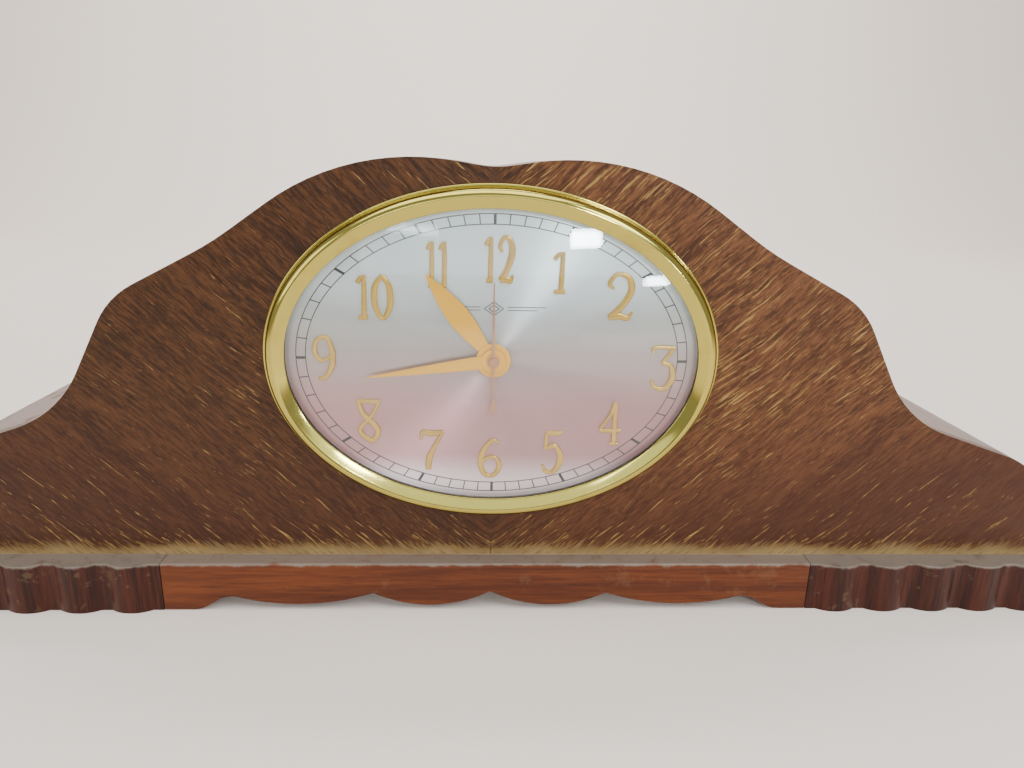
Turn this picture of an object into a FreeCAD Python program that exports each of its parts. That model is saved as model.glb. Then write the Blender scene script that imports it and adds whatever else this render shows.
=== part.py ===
"""Electric Westminster-chime mantel clock with a humped wooden case.

The row frame has X to the right, Y to the back and Z up, with the origin at the
centre of the clock's footprint.  All sizes are millimetres.
"""
import FreeCAD, Part
import math
import os

Vector = FreeCAD.Vector

# --- overall sizes ---------------------------------------------------------------
CLOCK_LENGTH = 558.8
CLOCK_DEPTH = 140.0
CLOCK_HEIGHT = 208.0

# --- plinth ------------------------------------------------------------------------
PLINTH_HEIGHT = 24.5
LEDGE = 9.6
BOARD_THICKNESS = 12.0
BLOCK_LENGTH = 125.4
REED_WIDTH = 19.0
REED_RISE = 3.0
FILLET_WIDTH = 5.0
REED_COUNT = 5
REAR_RAIL_THICKNESS = 10.0
CLEAT_SIDE = 18.0
# Right half of the apron's lower edge, from the foot to the centre: ends and middles of its arcs in turn.
APRON_EDGE = [(141.0, 0.0), (135.6, 1.0), (131.0, 3.6), (126.4, 6.1), (121.0, 6.9), (88.0, 2.8), (55.7, 8.6),
              (27.5, 2.3), (0.0, 9.5)]

# --- case outline: corners of the half outline and the radius that rounds each ------
CREST_OVERSHOOT = 5.6
CENTRE_DIP = 3.8
CREST_HALF_WIDTH = 59.9
NECK_HALF_WIDTH = 120.6
NECK_DROP = 36.9
SHOULDER_HALF_WIDTH = 166.2
SHOULDER_DROP = 60.6
WING_HALF_WIDTH = 194.2
WING_HEIGHT = 94.2
WING_END_HEIGHT = 68.6
DIP_RADIUS = 45.0
CREST_RADIUS = 110.0
NECK_RADIUS = 150.0
SHOULDER_RADIUS = 40.0
WING_RADIUS = 54.0
END_RADIUS = 32.0

# --- case shell ------------------------------------------------------------------------
PANEL_THICKNESS = 8.0
CASE_WALL = 5.0
BACK_THICKNESS = 4.0
BACK_INSET = 8.0
BACK_GAP = 0.2
SCREW_RADIUS = 1.5
SCREW_HEAD_RADIUS = 3.0
SCREW_HEAD_HEIGHT = 1.6
SCREW_GAP = 0.1
CUT_OVERSHOOT = 1.0

# --- dial, bezel and glass ---------------------------------------------------------------
DIAL_DROP = 86.0
BEZEL_WIDTH = 203.2
BEZEL_HEIGHT = 152.4
BEZEL_BAND = 8.5
BEZEL_RISE = 7.6
BEZEL_FLANGE = 1.8
BEZEL_FLANGE_RISE = 1.1
BEZEL_GROOVE_FALL = 0.1
# The roll's section: distance inside the flange, and its share of the bezel's rise.
BEZEL_ROLL = [(0.5, 0.55), (1.2, 0.86), (2.6, 1.0), (4.4, 0.9)]
BEZEL_LIP = 0.4
GLASS_RISE = 13.0
GLASS_THICKNESS = 2.0
GLASS_SEAT = 4.4
GLASS_LAP = 2.0
GLASS_GAP = 0.3
GASKET_LAP = 1.0
DIAL_THICKNESS = 1.0
DIAL_HOLE_RADIUS = 3.6
NUMERAL_RISE = 1.2
NUMERAL_STROKE = 2.4
DIGIT_GAP = 1.8
PAIRED_DIGIT_SHARE = 0.46
NARROW_ONE_SHARE = 0.6
STUD_RADIUS = 1.25
STUD_INSET = 3.4
STUD_LENGTH = 13.0
NUT_RADIUS = 3.0
NUT_HEIGHT = 2.4
HUB_HOLE_RADIUS = 25.0
HUB_HOLE_DROP = 4.0

# --- hands ------------------------------------------------------------------------------
HAND_THICKNESS = 0.5
HOUR_HAND_GAP = 1.5
HAND_STEP = 1.1
SECONDS_HAND_GAP = 0.4
HOUR_HAND_LENGTH = 48.0
HOUR_HAND_HALF_WIDTH = 4.9
HOUR_HAND_ANGLE = 321.8
HOUR_HUB_RADIUS = 7.8
MINUTE_HAND_LENGTH = 57.0
MINUTE_HAND_HALF_WIDTH = 3.0
MINUTE_HAND_ANGLE = 261.7
MINUTE_HUB_RADIUS = 5.4
SECONDS_HAND_LENGTH = 35.0
SECONDS_TAIL_LENGTH = 26.0
SECONDS_HUB_RADIUS = 2.7
SECONDS_BOSS_RADIUS = 2.025
SECONDS_BOSS_RISE = 0.8
# Half the outline of each hand: sideways share of its half width, and share of its length.
HOUR_LEAF = [(0.42, 0.1), (0.84, 0.33), (1.0, 0.5), (0.84, 0.67), (0.5, 0.84)]
MINUTE_TAPER = [(1.0, 0.0), (0.65, 0.52)]
SECONDS_NEEDLE = [(0.5, 0.0), (0.25, 1.0)]
SECONDS_TAIL = [(0.4, 0.6), (1.3, 0.82)]
HAND_NUT_RADIUS = 3.4
HAND_NUT_HEIGHT = 0.9

# --- movement ---------------------------------------------------------------------------
RUN_FIT = 0.05
POST_LENGTH = 5.0
POST_RADIUS = 3.5
PLATE_THICKNESS = 2.0
PLATE_GAP = 32.0
PLATE_HALF_WIDTH = 34.0
PLATE_ABOVE = 30.0
PLATE_BELOW = 30.0
PILLAR_INSET = 5.0
PILLAR_RADIUS = 2.5
SECONDS_ARBOR_RADIUS = 0.75
MINUTE_TUBE_BORE = 0.80
MINUTE_TUBE_RADIUS = 2.0
HOUR_TUBE_RADIUS = 3.2
ARBOR_RADIUS = 1.1
PIVOT_RADIUS = 0.6
WHEEL_THICKNESS = 1.1
PINION_LENGTH = 2.4
PINION_OVERHANG = 0.3
MOTION_STANDOFF = 2.0
MOTION_GAP = 1.5
MINUTE_PINION_OVERHANG = 0.2
MINUTE_POST_TIP = 0.6
MINUTE_POST_FOOT = 1.0
COLLAR_STANDOFF = 4.8
COLLAR_THICKNESS = 1.5
COLLAR_RADIUS = 3.6
CENTRE_STANDOFF = 2.0
INTERMEDIATE_STANDOFF = 16.0
SECONDS_STANDOFF = 23.0
SECONDS_PINION_LEAD = 0.6
INTERMEDIATE_PINION_LEAD = 0.5
ARBOR_END_GAP = 0.3
WEB_HOLES = 5
WEB_HOLE_RADIUS = 4.0
WEB_HOLE_CIRCLE = 8.5
CLUTCH_GAP = 0.3
CLUTCH_FOOT_RADIUS = 4.2
CLUTCH_TIP_RADIUS = 2.9
CLUTCH_WALL = 0.6
MOTION_MODULE = 0.5
CANNON_TEETH = 12
MINUTE_WHEEL_TEETH = 36
MINUTE_PINION_TEETH = 10
HOUR_WHEEL_TEETH = 40
TRAIN_MODULE = 0.5
SECONDS_WHEEL_TEETH = 36
ROTOR_PINION_TEETH = 10
SECONDS_PINION_TEETH = 8
INTERMEDIATE_TEETH = 60
INTERMEDIATE_PINION_TEETH = 10
CENTRE_WHEEL_TEETH = 80
ROTOR_BEARING = 60.0
INTERMEDIATE_BEARING = 140.0
ROTOR_RADIUS = 10.4
ROTOR_LENGTH = 14.0
CAN_WALL = 1.2
CAN_GAP = 1.0
YOKE_THICKNESS = 6.0
YOKE_LEG = 11.0
COIL_BUILD = 7.0
COIL_HALF_LENGTH = 12.0
COIL_GAP = 1.0
CAP_RIM = 1.0
ROTOR_SHAFT_LEAD = 1.0
SET_SHAFT_RADIUS = 1.5
SET_KNOB_RADIUS = 9.0
SET_KNOB_LENGTH = 7.6
KNOB_FLUTES = 18
KNOB_FLUTE_RADIUS = 0.8
KNOB_FLUTE_STANDOFF = 0.3

# --- chime -------------------------------------------------------------------------------
DRUM_OFFSET = (-38.0, -27.0)
DRUM_RADIUS = 9.0
DRUM_PIN_RADIUS = 0.7
DRUM_PIN_RISE = 1.8
DRUM_MARGIN = 3.0
PINS_ROUND = 4
PIN_START_ANGLE = 25.0
PIN_STEP_ANGLE = 18.0
DRUM_WHEEL_TEETH = 48
CHIME_PINION_TEETH = 12
CHIME_BEARING = 40.0
CHIME_WHEEL_STANDOFF = 0.8
CHIME_PINION_LEAD = 0.4
BRACKET_MARGIN = 8.0
BRACKET_HEAD = 4.0
BRACKET_RIGHT = 12.0
UPPER_PILLAR = (-3.0, -4.0)
LOWER_PILLAR = (6.0, 4.0)
HAMMER_OFFSET = (-60.0, -42.0)
HAMMER_ARM = (-36.0, -14.0)
HAMMER_HEAD_RADIUS = 4.0
HAMMER_HEAD_LENGTH = 10.0
HAMMER_WIDTH = 2.2
HAMMER_TAIL = 9.0
HAMMER_HUB_RADIUS = 2.86
HAMMER_ARM_ROOT = 1.3
HAMMER_ARM_END = 1.6
HAMMER_TAIL_ROOT = 1.2
HAMMER_TAIL_TOP = 2.2
HAMMER_TAIL_BOTTOM = 0.6
STRIKE_GAP = 1.2
ROD_RADIUS = 1.2
ROD_PITCH = 9.2
ROD_COUNT = 5
ROD_LENGTH = 230.0
ROD_STEP = 14.0
CHIME_BLOCK_X = -172.0
CHIME_BLOCK_LENGTH = 22.0
CHIME_BLOCK_MARGIN = 8.0
CHIME_BLOCK_HEAD = 6.0
CHIME_FOOT_HEIGHT = 4.0
CHIME_FOOT_LENGTH = 10.0
CHIME_SCREW_SPREAD = 16.0
ROD_SOCKET = 14.0
ROD_STANDOFF = 8.0
CHIME_BRACKET_GAP = 50.0
LEVER_LENGTH = 24.0
LEVER_DROP = 5.0
LEVER_HUB_RADIUS = 3.2
LEVER_HALF_WIDTH = 1.6
LEVER_THICKNESS = 1.6
LEVER_GAP = 0.3
TAB_RADIUS = 3.4
TAB_HEIGHT = 3.0

# --- back door -----------------------------------------------------------------------------
DOORWAY_HALF_WIDTH = 78.0
DOORWAY_BELOW = 58.0
DOORWAY_ABOVE = 46.0
DOOR_LAP = 6.0
DOOR_THICKNESS = 3.0
KNOB_CLEARANCE = 3.0
HINGE_RADIUS = 1.8
HINGE_PIN_RADIUS = 0.8
HINGE_LENGTH = 24.0
HINGE_LEAF = 14.0
HINGE_SIDE_GAP = 0.8
HINGE_REAR_GAP = 0.2
HINGE_INSET = 14.0
KNUCKLE_GAP = 0.3
SPINE_GAP = 1.0
LEAF_THICKNESS = 0.8
CATCH_LENGTH = 16.0
CATCH_GAP = 0.4
CATCH_THICKNESS = 1.4
CATCH_HALF_WIDTH = 3.2
CATCH_BOSS_RADIUS = 2.88
CATCH_BOSS_GAP = 0.3
GROMMET_X = 150.0
GROMMET_Z = 48.0
GROMMET_BORE = 3.5
GROMMET_WALL = 1.5
GROMMET_FLANGE = 3.0
GROMMET_FLANGE_THICKNESS = 2.0
SLOT_WIDTH = 3.0
SLOT_PITCH = 10.0
SLOT_COUNT = 5
SLOT_START = 102.0
SLOT_HEIGHT = 34.0
SLOT_BOTTOM = 74.0
DOOR_SLOTS_EACH_SIDE = 2
DOOR_UPPER_SLOT_DROP = 10.0
DOOR_UPPER_SLOT = 20.0
DOOR_LOWER_SLOT_RISE = 4.0
DOOR_LOWER_SLOT = 8.0

# --- places worked out from the sizes -------------------------------------------------------
REAR = CLOCK_DEPTH / 2
PANEL_FRONT = -CLOCK_DEPTH / 2 + GLASS_RISE
PANEL_BACK = PANEL_FRONT + PANEL_THICKNESS
APRON_FRONT = PANEL_FRONT - LEDGE
CASE_HALF = CLOCK_LENGTH / 2 - LEDGE
BLOCK_START = CLOCK_LENGTH / 2 - BLOCK_LENGTH
BOARD_BOTTOM = PLINTH_HEIGHT - BOARD_THICKNESS
DIAL_Z = CLOCK_HEIGHT - DIAL_DROP
BEZEL_A = BEZEL_WIDTH / 2
BEZEL_B = BEZEL_HEIGHT / 2
DIAL_FRONT = PANEL_FRONT - DIAL_THICKNESS
GLASS_INSET = BEZEL_BAND - GLASS_LAP
BACK_REAR = REAR - BACK_INSET
BACK_FRONT = BACK_REAR - BACK_THICKNESS
DOOR_REAR = BACK_REAR + DOOR_THICKNESS
HOUR_HAND_FRONT = DIAL_FRONT - HOUR_HAND_GAP - HAND_THICKNESS
MINUTE_HAND_FRONT = HOUR_HAND_FRONT - HAND_STEP
MINUTE_TUBE_FRONT = MINUTE_HAND_FRONT - HAND_NUT_HEIGHT
SECONDS_HAND_FRONT = MINUTE_TUBE_FRONT - SECONDS_HAND_GAP - HAND_THICKNESS
FRONT_PLATE = PANEL_BACK + POST_LENGTH
FRONT_PLATE_BACK = FRONT_PLATE + PLATE_THICKNESS
BACK_PLATE = FRONT_PLATE_BACK + PLATE_GAP
BACK_PLATE_BACK = BACK_PLATE + PLATE_THICKNESS
DRUM_X = DRUM_OFFSET[0]
DRUM_Z = DIAL_Z + DRUM_OFFSET[1]
HAMMER_X = HAMMER_OFFSET[0]
HAMMER_Z = DIAL_Z + HAMMER_OFFSET[1]
CHIME_BRACKET = BACK_PLATE_BACK + CHIME_BRACKET_GAP


# --- small shape builders ---------------------------------------------------------------------
def box(x0, x1, y0, y1, z0, z1):
    """A block between two corners."""
    return Part.makeBox(x1 - x0, y1 - y0, z1 - z0, Vector(x0, y0, z0))


def rod_y(radius, y0, y1, x, z):
    """A round bar along Y."""
    return Part.makeCylinder(radius, y1 - y0, Vector(x, y0, z), Vector(0, 1, 0))


def rod_x(radius, x0, x1, y, z):
    """A round bar along X."""
    return Part.makeCylinder(radius, x1 - x0, Vector(x0, y, z), Vector(1, 0, 0))


def rod_z(radius, z0, z1, x, y):
    """A round bar along Z."""
    return Part.makeCylinder(radius, z1 - z0, Vector(x, y, z0), Vector(0, 0, 1))


def extrude_y(wires, y0, y1):
    """The face bounded by wires that lie at Y = 0, pushed from y0 to y1."""
    face = Part.Face(wires, "Part::FaceMakerBullseye") if isinstance(wires, list) else Part.Face(wires)
    face.translate(Vector(0, y0, 0))
    return face.extrude(Vector(0, y1 - y0, 0))


def polygon(points):
    """A closed wire of straight edges through (x, z) points."""
    corners = [Vector(x, 0, z) for x, z in points]
    return Part.makePolygon(corners + corners[:1])


def fuse(shapes):
    """One shape made of several that touch or overlap."""
    first = shapes[0]
    return first.multiFuse(shapes[1:]).removeSplitter() if len(shapes) > 1 else first


def mirrored(shape):
    """The shape reflected from right to left."""
    return shape.mirror(Vector(0, 0, 0), Vector(1, 0, 0))


def polar(x, z, radius, degrees):
    """The point at a distance and an angle, counted from +X towards +Z."""
    angle = math.radians(degrees)
    return x + radius * math.cos(angle), z + radius * math.sin(angle)


def save(name, shape):
    """Write one node."""
    shape.exportStep("parts/" + name + ".step")


# --- the case outline --------------------------------------------------------------------------
def half_outline():
    """Corners of the case's right half with their rounding radii, from the centre to the foot."""
    return [
        (0.0, CLOCK_HEIGHT - CENTRE_DIP, -DIP_RADIUS),
        (CREST_HALF_WIDTH, CLOCK_HEIGHT + CREST_OVERSHOOT, CREST_RADIUS),
        (NECK_HALF_WIDTH, CLOCK_HEIGHT - NECK_DROP, -NECK_RADIUS),
        (SHOULDER_HALF_WIDTH, CLOCK_HEIGHT - SHOULDER_DROP, SHOULDER_RADIUS),
        (WING_HALF_WIDTH, WING_HEIGHT, -WING_RADIUS),
        (CASE_HALF, WING_END_HEIGHT, END_RADIUS),
        (CASE_HALF, PLINTH_HEIGHT, 0.0),
    ]


def inset_corners(corners, inset):
    """The same corners moved inward, keeping every side parallel."""
    moved = []
    for index, (x, z, radius) in enumerate(corners):
        before = corners[index - 1] if index else (-corners[1][0], corners[1][1])
        after = corners[index + 1] if index + 1 < len(corners) else (x, z - 1.0)
        side_in = Vector(x - before[0], 0, z - before[1]).normalize()
        side_out = Vector(after[0] - x, 0, after[1] - z).normalize()
        normal_in = Vector(side_in.z, 0, -side_in.x)
        normal_out = Vector(side_out.z, 0, -side_out.x)
        shift = (normal_in + normal_out) * (inset / (1.0 + normal_in.dot(normal_out)))
        moved.append((x + shift.x, z + shift.z, radius - inset if radius else 0.0))
    return moved


def rounded_wire(corners):
    """A closed wire with each corner rounded by a tangent arc of its own radius."""
    count = len(corners)
    joints = []
    for index, (x, z, radius) in enumerate(corners):
        here = Vector(x, 0, z)
        before = Vector(corners[index - 1][0], 0, corners[index - 1][1])
        after = Vector(corners[(index + 1) % count][0], 0, corners[(index + 1) % count][1])
        to_before = (before - here).normalize()
        to_after = (after - here).normalize()
        half = to_before.getAngle(to_after) / 2
        if not radius or half > math.pi / 2 - 1e-6:
            joints.append((here, None, here))
            continue
        reach = abs(radius) / math.tan(half)
        bisector = (to_before + to_after).normalize()
        middle = here + bisector * (abs(radius) / math.sin(half) - abs(radius))
        joints.append((here + to_before * reach, middle, here + to_after * reach))
    edges = []
    for index, (start, middle, end) in enumerate(joints):
        if middle is not None:
            edges.append(Part.Arc(start, middle, end).toShape())
        edges.append(Part.makeLine(end, joints[(index + 1) % count][0]))
    return Part.Wire(edges)


def case_wire(inset=0.0, foot=PLINTH_HEIGHT):
    """The case outline, moved inward by an inset, closed along a level foot."""
    half = inset_corners(half_outline(), inset) if inset else half_outline()
    half[-1] = (half[-1][0], foot, 0.0)
    left = [(-x, z, radius) for x, z, radius in reversed(half[1:])]
    return rounded_wire(half + left)


def ellipse_wire(inset, y, x=0.0, z=DIAL_Z):
    """An ellipse a given distance inside the bezel's outer edge, in a plane across Y."""
    centre = Vector(x, y, z)
    across = Vector(x + BEZEL_A - inset, y, z)
    up = Vector(x, y, z + BEZEL_B - inset)
    return Part.Wire(Part.Ellipse(across, up, centre).toShape())


def ellipse_prism(inset, y0, y1):
    """An elliptic block between two planes across Y."""
    return Part.Face(ellipse_wire(inset, y0)).extrude(Vector(0, y1 - y0, 0))


def ellipse_stack(stations):
    """A solid of elliptic slices: (inset, y) pairs joined by straight slopes."""
    slices = []
    for (inset0, y0), (inset1, y1) in zip(stations, stations[1:]):
        slices.append(Part.makeLoft([ellipse_wire(inset0, y0), ellipse_wire(inset1, y1)], True, True))
    return fuse(slices)


# --- gears ---------------------------------------------------------------------------------------
PRESSURE_ANGLE = math.radians(20.0)
ADDENDUM = 0.85
DEDENDUM = 1.25
BACKLASH = 0.22


def involute(radius, base_radius):
    """How far the flank has turned at a radius."""
    if radius <= base_radius:
        return 0.0
    angle = math.acos(base_radius / radius)
    return math.tan(angle) - angle


def gear_wire(teeth, module, phase, x, z):
    """The outline of a gear with one tooth centred at the phase angle, in degrees."""
    pitch = teeth * module / 2
    base = pitch * math.cos(PRESSURE_ANGLE)
    radii = (pitch - DEDENDUM * module, pitch, pitch + ADDENDUM * module)
    at_pitch = math.pi / (2 * teeth) - BACKLASH * module / (2 * pitch)
    widths = [at_pitch + involute(pitch, base) - involute(radius, base) for radius in radii]
    points = []
    for tooth in range(teeth):
        centre = math.radians(phase) + 2 * math.pi * tooth / teeth
        flank = [(radius, centre - width) for radius, width in zip(radii, widths)]
        flank += [(radius, centre + width) for radius, width in zip(radii[::-1], widths[::-1])]
        points += [(x + r * math.cos(a), z + r * math.sin(a)) for r, a in flank]
    return polygon(points)


def mesh_phase(teeth_a, phase_a, teeth_b, bearing):
    """The phase that puts gear B in mesh with gear A, which lies at the opposite bearing."""
    lead = (phase_a - bearing) * teeth_a / 360.0
    return bearing + 180.0 + (360.0 / teeth_b) * (-lead - 0.5)


def gear(teeth, module, phase, x, z, y0, y1):
    """A gear wheel or pinion as one solid disc."""
    return extrude_y(gear_wire(teeth, module, phase, x, z), y0, y1)


def gear_centres(teeth_a, teeth_b, module):
    """The distance between two meshed gears."""
    return (teeth_a + teeth_b) * module / 2


# --- plinth ---------------------------------------------------------------------------------------
def base_board():
    """The board that the case stands on."""
    return box(-CASE_HALF, CASE_HALF, PANEL_FRONT, REAR, BOARD_BOTTOM, PLINTH_HEIGHT)


def plinth_apron():
    """The front rail with its scalloped lower edge."""
    def arc(first, middle, last):
        return Part.Arc(*[Vector(x, 0, z) for x, z in (first, middle, last)]).toShape()

    def line(first, last):
        return Part.makeLine(Vector(first[0], 0, first[1]), Vector(last[0], 0, last[1]))

    right = [
        line((BLOCK_START, PLINTH_HEIGHT), (BLOCK_START, 0.0)),
        line((BLOCK_START, 0.0), APRON_EDGE[0]),
    ]
    right += [arc(*APRON_EDGE[start:start + 3]) for start in range(0, len(APRON_EDGE) - 2, 2)]
    left = [edge.mirror(Vector(0, 0, 0), Vector(1, 0, 0)) for edge in reversed(right)]
    top = line((-BLOCK_START, PLINTH_HEIGHT), (BLOCK_START, PLINTH_HEIGHT))
    outline = Part.Wire(Part.__sortEdges__(right + left + [top]))
    return extrude_y(outline, APRON_FRONT, PANEL_FRONT)


def plinth_block():
    """The right-hand block with its row of upright reeds."""
    edges = []
    at = BLOCK_START
    here = Vector(at, APRON_FRONT, 0)
    for _ in range(REED_COUNT):
        start = Vector(at + FILLET_WIDTH, APRON_FRONT, 0)
        crest = Vector(start.x + REED_WIDTH / 2, APRON_FRONT - REED_RISE, 0)
        at = start.x + REED_WIDTH
        edges.append(Part.makeLine(here, start))
        here = Vector(at, APRON_FRONT, 0)
        edges.append(Part.Arc(start, crest, here).toShape())
    corners = [here, Vector(CLOCK_LENGTH / 2, APRON_FRONT, 0), Vector(CLOCK_LENGTH / 2, PANEL_FRONT, 0),
               Vector(BLOCK_START, PANEL_FRONT, 0), Vector(BLOCK_START, APRON_FRONT, 0)]
    edges += [Part.makeLine(first, last) for first, last in zip(corners, corners[1:])]
    return Part.Face(Part.Wire(edges)).extrude(Vector(0, 0, PLINTH_HEIGHT))


def plinth_side():
    """The right-hand side rail."""
    return box(CASE_HALF, CLOCK_LENGTH / 2, PANEL_FRONT, REAR, 0, PLINTH_HEIGHT)


def plinth_rear_rail():
    """The rail under the board's rear edge."""
    return box(-CASE_HALF, CASE_HALF, REAR - REAR_RAIL_THICKNESS, REAR, 0, BOARD_BOTTOM)


def corner_cleat(x, y, side_x, side_y, z0, z1):
    """A three-sided glue block in a corner that opens along the two given directions."""
    corners = [Vector(x, y, z0), Vector(x + side_x * CLEAT_SIDE, y, z0),
               Vector(x, y + side_y * CLEAT_SIDE, z0)]
    return Part.Face(Part.makePolygon(corners + corners[:1])).extrude(Vector(0, 0, z1 - z0))


def corner_cleats():
    """Glue blocks under the board, clear of the surface that the clock stands on."""
    foot = BOARD_BOTTOM / 4
    rear = REAR - REAR_RAIL_THICKNESS
    cleats = []
    for side in (-1, 1):
        cleats.append(corner_cleat(side * CASE_HALF, PANEL_FRONT, -side, 1, foot, BOARD_BOTTOM))
        cleats.append(corner_cleat(side * CASE_HALF, rear, -side, -1, foot, BOARD_BOTTOM))
    return Part.makeCompound(cleats)


# --- case shell ------------------------------------------------------------------------------------
def stud_places():
    """Where the bezel's four studs pass through the panel."""
    across = (BEZEL_A - STUD_INSET) * math.cos(math.pi / 4)
    up = (BEZEL_B - STUD_INSET) * math.sin(math.pi / 4)
    return [(sx * across, DIAL_Z + sz * up) for sx in (-1, 1) for sz in (-1, 1)]


def pillar_places():
    """The four corners where the movement's plates are held apart."""
    x = PLATE_HALF_WIDTH - PILLAR_INSET
    low = DIAL_Z - PLATE_BELOW + PILLAR_INSET
    high = DIAL_Z + PLATE_ABOVE - PILLAR_INSET
    return [(sx * x, z) for sx in (-1, 1) for z in (low, high)]


def front_panel():
    """The veneered front with holes for the movement's hub, the studs and the screws."""
    panel = extrude_y(case_wire(), PANEL_FRONT, PANEL_BACK)
    holes = [rod_y(HUB_HOLE_RADIUS, PANEL_FRONT, PANEL_BACK, 0, DIAL_Z - HUB_HOLE_DROP)]
    holes += [rod_y(STUD_RADIUS + SCREW_GAP, PANEL_FRONT, PANEL_BACK, x, z) for x, z in stud_places()]
    holes += [movement_screw(x, z, SCREW_GAP, PANEL_BACK) for x, z in pillar_places()]
    return panel.cut(fuse(holes))


def case_top():
    """The bent top that runs from end to end over the case."""
    outer = extrude_y(case_wire(), PANEL_BACK, REAR)
    inner = extrude_y(case_wire(CASE_WALL, PLINTH_HEIGHT - CUT_OVERSHOOT),
                      PANEL_BACK - CUT_OVERSHOOT, REAR + CUT_OVERSHOOT)
    return outer.cut(inner)


def back_screw_places():
    """The screws that hold the back panel to its cleats."""
    low = PLINTH_HEIGHT + CLEAT_SIDE / 3
    side = CASE_HALF - CASE_WALL - CLEAT_SIDE / 2
    inner = DOORWAY_HALF_WIDTH + CLEAT_SIDE
    return [(sx * x, low) for sx in (-1, 1) for x in (side, inner)]


def back_cleats():
    """Strips on the board, inside the back panel, that take its screws."""
    strips = []
    span = DOORWAY_HALF_WIDTH + 2 * CLEAT_SIDE
    for side in (-1, 1):
        end = CASE_HALF - CASE_WALL
        low, high = sorted((side * (span - 2 * CLEAT_SIDE), side * end))
        strips.append(box(low, high, BACK_FRONT - CLEAT_SIDE / 2, BACK_FRONT,
                          PLINTH_HEIGHT, PLINTH_HEIGHT + CLEAT_SIDE * 2 / 3))
    cleats = Part.makeCompound(strips)
    holes = [rod_y(SCREW_RADIUS, BACK_FRONT - CLEAT_SIDE / 2, BACK_FRONT, x, z) for x, z in back_screw_places()]
    return cleats.cut(fuse_apart(holes))


def fuse_apart(shapes):
    """Several shapes that don't touch, as one cutting tool."""
    return Part.makeCompound(shapes)


def doorway(margin, y0, y1):
    """The door opening, or the door when given a margin."""
    x = DOORWAY_HALF_WIDTH + margin
    return box(-x, x, y0, y1, DIAL_Z - DOORWAY_BELOW - margin, DIAL_Z + DOORWAY_ABOVE + margin)


def back_panel():
    """The back, with the doorway, the sound slots, the cord hole and the screw holes."""
    panel = extrude_y(case_wire(CASE_WALL + BACK_GAP), BACK_FRONT, BACK_REAR)
    tools = [doorway(0, BACK_FRONT, BACK_REAR)]
    for index in range(SLOT_COUNT):
        for side in (-1, 1):
            x = side * (SLOT_START + index * SLOT_PITCH)
            tools.append(box(x - SLOT_WIDTH / 2, x + SLOT_WIDTH / 2, BACK_FRONT, BACK_REAR,
                             SLOT_BOTTOM, SLOT_BOTTOM + SLOT_HEIGHT))
    tools.append(rod_y(GROMMET_BORE + GROMMET_WALL, BACK_FRONT, BACK_REAR, GROMMET_X, GROMMET_Z))
    tools += [rod_y(SCREW_RADIUS + SCREW_GAP, BACK_FRONT, BACK_REAR, x, z) for x, z in back_screw_places()]
    tools.append(rod_y(SCREW_RADIUS, BACK_FRONT, BACK_REAR, *catch_place()))
    return panel.cut(fuse_apart(tools))


def case_screws():
    """Round-headed screws through the back panel, and those that hold the chime block to the board."""
    tip = BACK_FRONT - CLEAT_SIDE / 2
    return Part.makeCompound(chime_block_screws() + [
        fuse([rod_y(SCREW_RADIUS, tip, BACK_REAR + SCREW_HEAD_HEIGHT, x, z),
              rod_y(SCREW_HEAD_RADIUS, BACK_REAR, BACK_REAR + SCREW_HEAD_HEIGHT, x, z)])
        for x, z in back_screw_places()])


def cord_grommet():
    """The flanged bush that the supply cord passes through."""
    front = BACK_FRONT - GROMMET_FLANGE_THICKNESS
    rear = BACK_REAR + GROMMET_FLANGE_THICKNESS
    outer = fuse([rod_y(GROMMET_BORE + GROMMET_WALL, BACK_FRONT, BACK_REAR, GROMMET_X, GROMMET_Z),
                  rod_y(GROMMET_BORE + GROMMET_FLANGE, BACK_REAR, rear, GROMMET_X, GROMMET_Z),
                  rod_y(GROMMET_BORE + GROMMET_FLANGE, front, BACK_FRONT, GROMMET_X, GROMMET_Z)])
    return outer.cut(rod_y(GROMMET_BORE, front, rear, GROMMET_X, GROMMET_Z))


# --- dial, bezel and glass -------------------------------------------------------------------------
def bezel():
    """The pressed ring: flat flange, groove, full roll and inner slope, hollow behind."""
    flange = [(0.0, PANEL_FRONT), (0.0, PANEL_FRONT - BEZEL_FLANGE_RISE),
              (BEZEL_FLANGE, PANEL_FRONT - BEZEL_FLANGE_RISE - BEZEL_GROOVE_FALL)]
    roll = [(BEZEL_FLANGE + inset, PANEL_FRONT - share * BEZEL_RISE) for inset, share in BEZEL_ROLL]
    brow, brow_front = roll[-1]
    outer = ellipse_stack(flange + roll)
    opening = ellipse_stack([
        (BEZEL_BAND, PANEL_FRONT), (BEZEL_BAND, PANEL_FRONT - GLASS_SEAT - BEZEL_LIP),
        (brow, brow_front - BEZEL_GROOVE_FALL), (brow, PANEL_FRONT - BEZEL_RISE - CUT_OVERSHOOT)])
    recess = ellipse_prism(GLASS_INSET - GLASS_GAP, PANEL_FRONT - GLASS_SEAT, PANEL_FRONT)
    return outer.cut(opening).cut(recess)


def bezel_studs():
    """Studs behind the bezel, each with its nut."""
    pieces = []
    for x, z in stud_places():
        pieces.append(rod_y(STUD_RADIUS, PANEL_FRONT, PANEL_FRONT + STUD_LENGTH, x, z))
        corners = [polar(x, z, NUT_RADIUS, 60.0 * side) for side in range(6)]
        nut = extrude_y(polygon(corners), PANEL_BACK, PANEL_BACK + NUT_HEIGHT)
        pieces.append(nut.cut(rod_y(STUD_RADIUS, PANEL_BACK, PANEL_BACK + NUT_HEIGHT, x, z)))
    return Part.makeCompound(pieces)


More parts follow.
